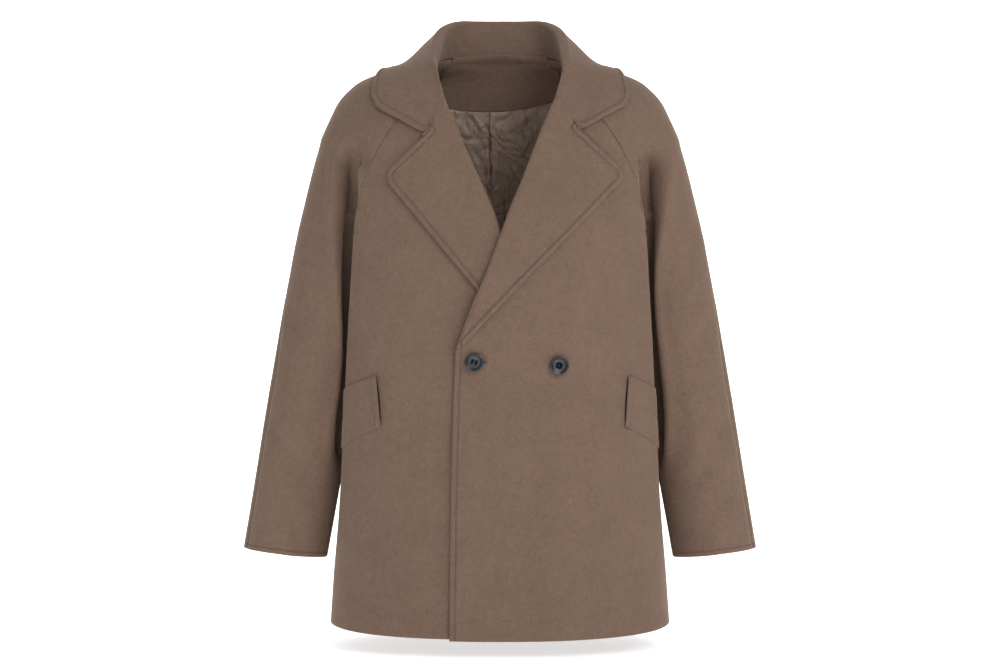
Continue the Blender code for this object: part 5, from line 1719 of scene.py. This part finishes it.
def dress(sheet, thickness, finish, rim, line=None, puff=0.0, normals=None):
    """Makes a sheet's shell and names what it stands for."""
    node = sheet.name
    if normals is None:
        normals = shared_normals([sheet], {})[0]
    piece = shell(node + "_cloth", sheet, normals, thickness, finish, rim, line, puff)
    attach(piece, "root")
    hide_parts(node)


def trim(sheet, thickness, finish, rim):
    """A small piece that only the scene has, on a piece of the coat."""
    piece = shell(sheet.name, sheet, shared_normals([sheet], {})[0], thickness, finish, rim)
    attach(piece, "root")


def dress_body(sheets, wool):
    """Fronts, back and sleeves, which share their creases and their seams."""
    cleft = cleft_line()
    fixed = armpit_normals()
    creased = crease_all(sheets, shared_normals(sheets, fixed), cleft)
    for sheet, normals, smooth in zip(creased, shared_normals(creased, fixed), sheets):
        line, puff = None, 0.0
        rim = np.full(len(sheet.points), SEAM_ROUND)
        if sheet.name.startswith("front"):
            puff = EDGE_PUFF
            break_z = ROLL["z"][0]
            edge = [smooth.point(row[0]) for row in smooth.rows]
            line = np.array([sheet.points[v] for v in edge
                             if sheet.points[v][2] < break_z + 0.004])
            rim[[v for v in edge if sheet.points[v][2] > break_z]] = ROLL_RIM
        elif sheet.name.startswith("sleeve"):
            line = np.array([sheet.points[smooth.point(p)] for p in smooth.rows[-1]])
        dress(sheet, cloth_thickness(sheet, cleft), wool, rim, line, puff, normals)
    return creased


def dress_lapels(panels, trees, wool):
    for side, panel in panels.items():
        sheet = lapel("lapel_" + side, side, panel, trees[side])
        rows = np.array(sheet.points).reshape(LAPEL_LINES, -1, 3)
        thickness = lapel_walls(rows)
        if side == "right":
            sheet, rows = sheet.mirrored(sheet.name), rows * MIRROR
        rim = np.full(rows.shape[:2], LAPEL_RIM)
        rim[0, :-1] = GORGE_RIM
        dress(sheet, thickness, wool, rim.ravel(), rows[:, -1], EDGE_PUFF)


def dress_collar(back, panels, trees, below, wool):
    sheet = collar(back, panels, trees)
    width = len(sheet.rows[0])
    thickness = fold_walls(width, len(sheet.rows)) * COLLAR_SHARE
    across = 1 + FOLD_POINTS
    sheet = clear(sheet, thickness, below, COLLAR_CLEARANCE, across)
    rows = np.array(sheet.points).reshape(-1, width, 3)
    ends = across + gorge_column(rows, across)
    line = np.vstack((rows[0, ends:], rows[1:-1, -1], rows[-1, ends:][::-1]))
    rim = np.full(rows.shape[:2], COLLAR_RIM)
    rim[(0, -1), :ends] = GORGE_RIM
    dress(sheet, thickness, wool, rim.ravel(), line, EDGE_PUFF)


def dress_inside(back, wool, satin):
    """The neck facing and the crumpled lining."""
    inside = tree_of([back])
    dress(neck_facing(inside), FACING_WALL, wool, FACING_RIM)
    lining = lining_back(inside)
    n = shared_normals([lining], {})[0]
    points = np.array(lining.points)
    depth = np.zeros(len(points))
    lining_tree = tree_of([lining])
    for width, deep, path in map(in_metres, CRUMPLES):
        line = on_cloth(lining_tree, path, -1)
        if len(line) > 2:
            depth += crease_depth(points, line, width, deep)
    inward = n if n[:, 1].mean() < 0 else -n
    moves = np.clip(LINING_EASE - depth, 0.0, LINING_MOST)
    lining.points = list(points + inward * moves[:, None])
    dress(lining, LINING_WALL, satin, LINING_RIM)


def dress_flap(side, panel, wool):
    """Makes a pocket's flap, and a dark strip beside its front edge: the pocket's mouth, its
    darkness painted shade.
    """
    below = tree_of([panel])
    sheet = flap("flap_" + side, side, below)
    rows = np.array(sheet.points).reshape(FLAP_ROWS, -1, 3)
    path = [(r[0][0] - SHADE_STRIP_AWAY, r[0][2]) for r in rows[2:-2:8]]
    # the pocket's mouth as a near-black strip: painted shade in the gap
    mouth = strip_on_front("pocket_mouth_painted_shade_" + side, below, path, SHADE_STRIP_HALF, SHADE_STRIP_OUT)
    if side == "right":
        sheet, mouth, rows = sheet.mirrored(sheet.name), mouth.mirrored(mouth.name), rows * MIRROR
    rim = np.full(rows.shape[:2], FLAP_RIM)
    rim[:, 0] = FLAP_FRONT_RIM
    dress(sheet, FLAP_WALL, wool, rim.ravel(), rows[:, 0], EDGE_PUFF)
    return mouth


def main():
    wool = napped_wool()
    satin = satin_lining()
    # near-black finish for the pockets' mouths: painted shade
    shade = sewing_thread("pocket mouth painted shade", (0.016, 0.011, 0.009))
    whip = sewing_thread("buttonhole thread", (0.060, 0.042, 0.032))
    panels = {"left": front_panel("front_left", over=True),
              "right": front_panel("front_right", over=False)}
    back = back_panel()
    front_half = sleeve_half("sleeve_left_front", FRONT)
    back_half = sleeve_half("sleeve_left_back", BACK)
    sheets = [panels["left"], panels["right"].mirrored("front_right"), back,
              front_half, back_half, front_half.mirrored("sleeve_right_front"),
              back_half.mirrored("sleeve_right_back")]
    creased = dress_body(sheets, wool)
    trees = {side: tree_of([panels[side], back, front_half, back_half]) for side in panels}
    dress_lapels(panels, trees, wool)
    dress_collar(back, panels, trees, tree_of(sheets), wool)
    dress_inside(back, wool, satin)
    shade_strips = [dress_flap("left", creased[0], wool),
              dress_flap("right", creased[1].mirrored("under"), wool)]
    # the pockets' mouths: dark strips of painted shade
    for side, mouth in zip(panels, shade_strips):
        trim(mouth, SHADE_STRIP_WALL, shade, 0.0002)
    hole = strip_on_front("buttonhole", tree_of([creased[0]]), BUTTONHOLE, HOLE_HALF, HOLE_OUT)
    trim(hole, HOLE_WALL, whip, 0.0004)
    sew_on_buttons()


# ---- floor and light ----
FLOOR = -0.826
FLOOR_HALF = 6.0          # the floor's half width
FLOOR_FRONT = -4.0
WALL_PLACE = 6.2          # the backdrop's y
WALL_TOP = 6.0
WALL_BEND = 1.6           # radius of the curve from floor to backdrop
WORLD_LIGHT = 0.38
# name, place, aim, size and power
LAMPS = (("key", (1.7, -2.9, 1.5), (0, 0, -0.35), (1.8, 1.6), 52.0),
         ("fill", (-1.7, -2.9, 0.7), (0, 0, -0.4), (1.8, 2.2), 6.0),
         ("top", (0.0, 0.4, 2.6), (0, 0, -0.3), (3.0, 2.0), 17.0),
         ("backdrop", (0.0, 3.2, 3.4), (0, 6.2, 0.4), (6.0, 1.2), 260.0))


def pale_floor():
    """A pale floor that curves up into a backdrop."""
    curve_start = WALL_PLACE - WALL_BEND
    profile = [(FLOOR_FRONT, FLOOR)]
    profile += [(curve_start + WALL_BEND * sin(a), FLOOR + WALL_BEND * (1 - cos(a)))
                for a in np.linspace(0, pi / 2, 14)]
    profile += [(WALL_PLACE, WALL_TOP)]
    points = [(x, y, z) for y, z in profile for x in (-FLOOR_HALF, FLOOR_HALF)]
    faces = [[2 * k, 2 * k + 1, 2 * k + 3, 2 * k + 2] for k in range(len(profile) - 1)]
    mesh = bpy.data.meshes.new("floor")
    mesh.from_pydata(points, [], faces)
    mesh.shade_smooth()
    mesh.materials.append(new_finish(
        "pale floor", (0.93, 0.93, 0.93), 0.9, specular_ior_level=0.1,
        emission_color=(1.0, 1.0, 1.0), emission_strength=0.62)[0])
    floor = bpy.data.objects.new("floor", mesh)
    bpy.context.collection.objects.link(floor)


def studio():
    """Plain soft light from the front, from above and on the backdrop."""
    world = bpy.data.worlds.new("studio")
    world.use_nodes = True
    fill(world.node_tree.nodes["Background"], {"Color": (1, 1, 1), "Strength": WORLD_LIGHT})
    bpy.context.scene.world = world
    for name, place, aim, size, power in LAMPS:
        data = bpy.data.lights.new(name, "AREA")
        data.shape = "RECTANGLE"
        data.size, data.size_y = size
        data.energy = power
        lamp = bpy.data.objects.new(name, data)
        lamp.location = place
        lamp.rotation_mode = "QUATERNION"
        lamp.rotation_quaternion = (Vector(aim) - Vector(place)).to_track_quat("-Z", "Y")
        bpy.context.scene.collection.objects.link(lamp)
    bpy.context.scene.view_settings.view_transform = "Standard"


main()
pale_floor()
studio()
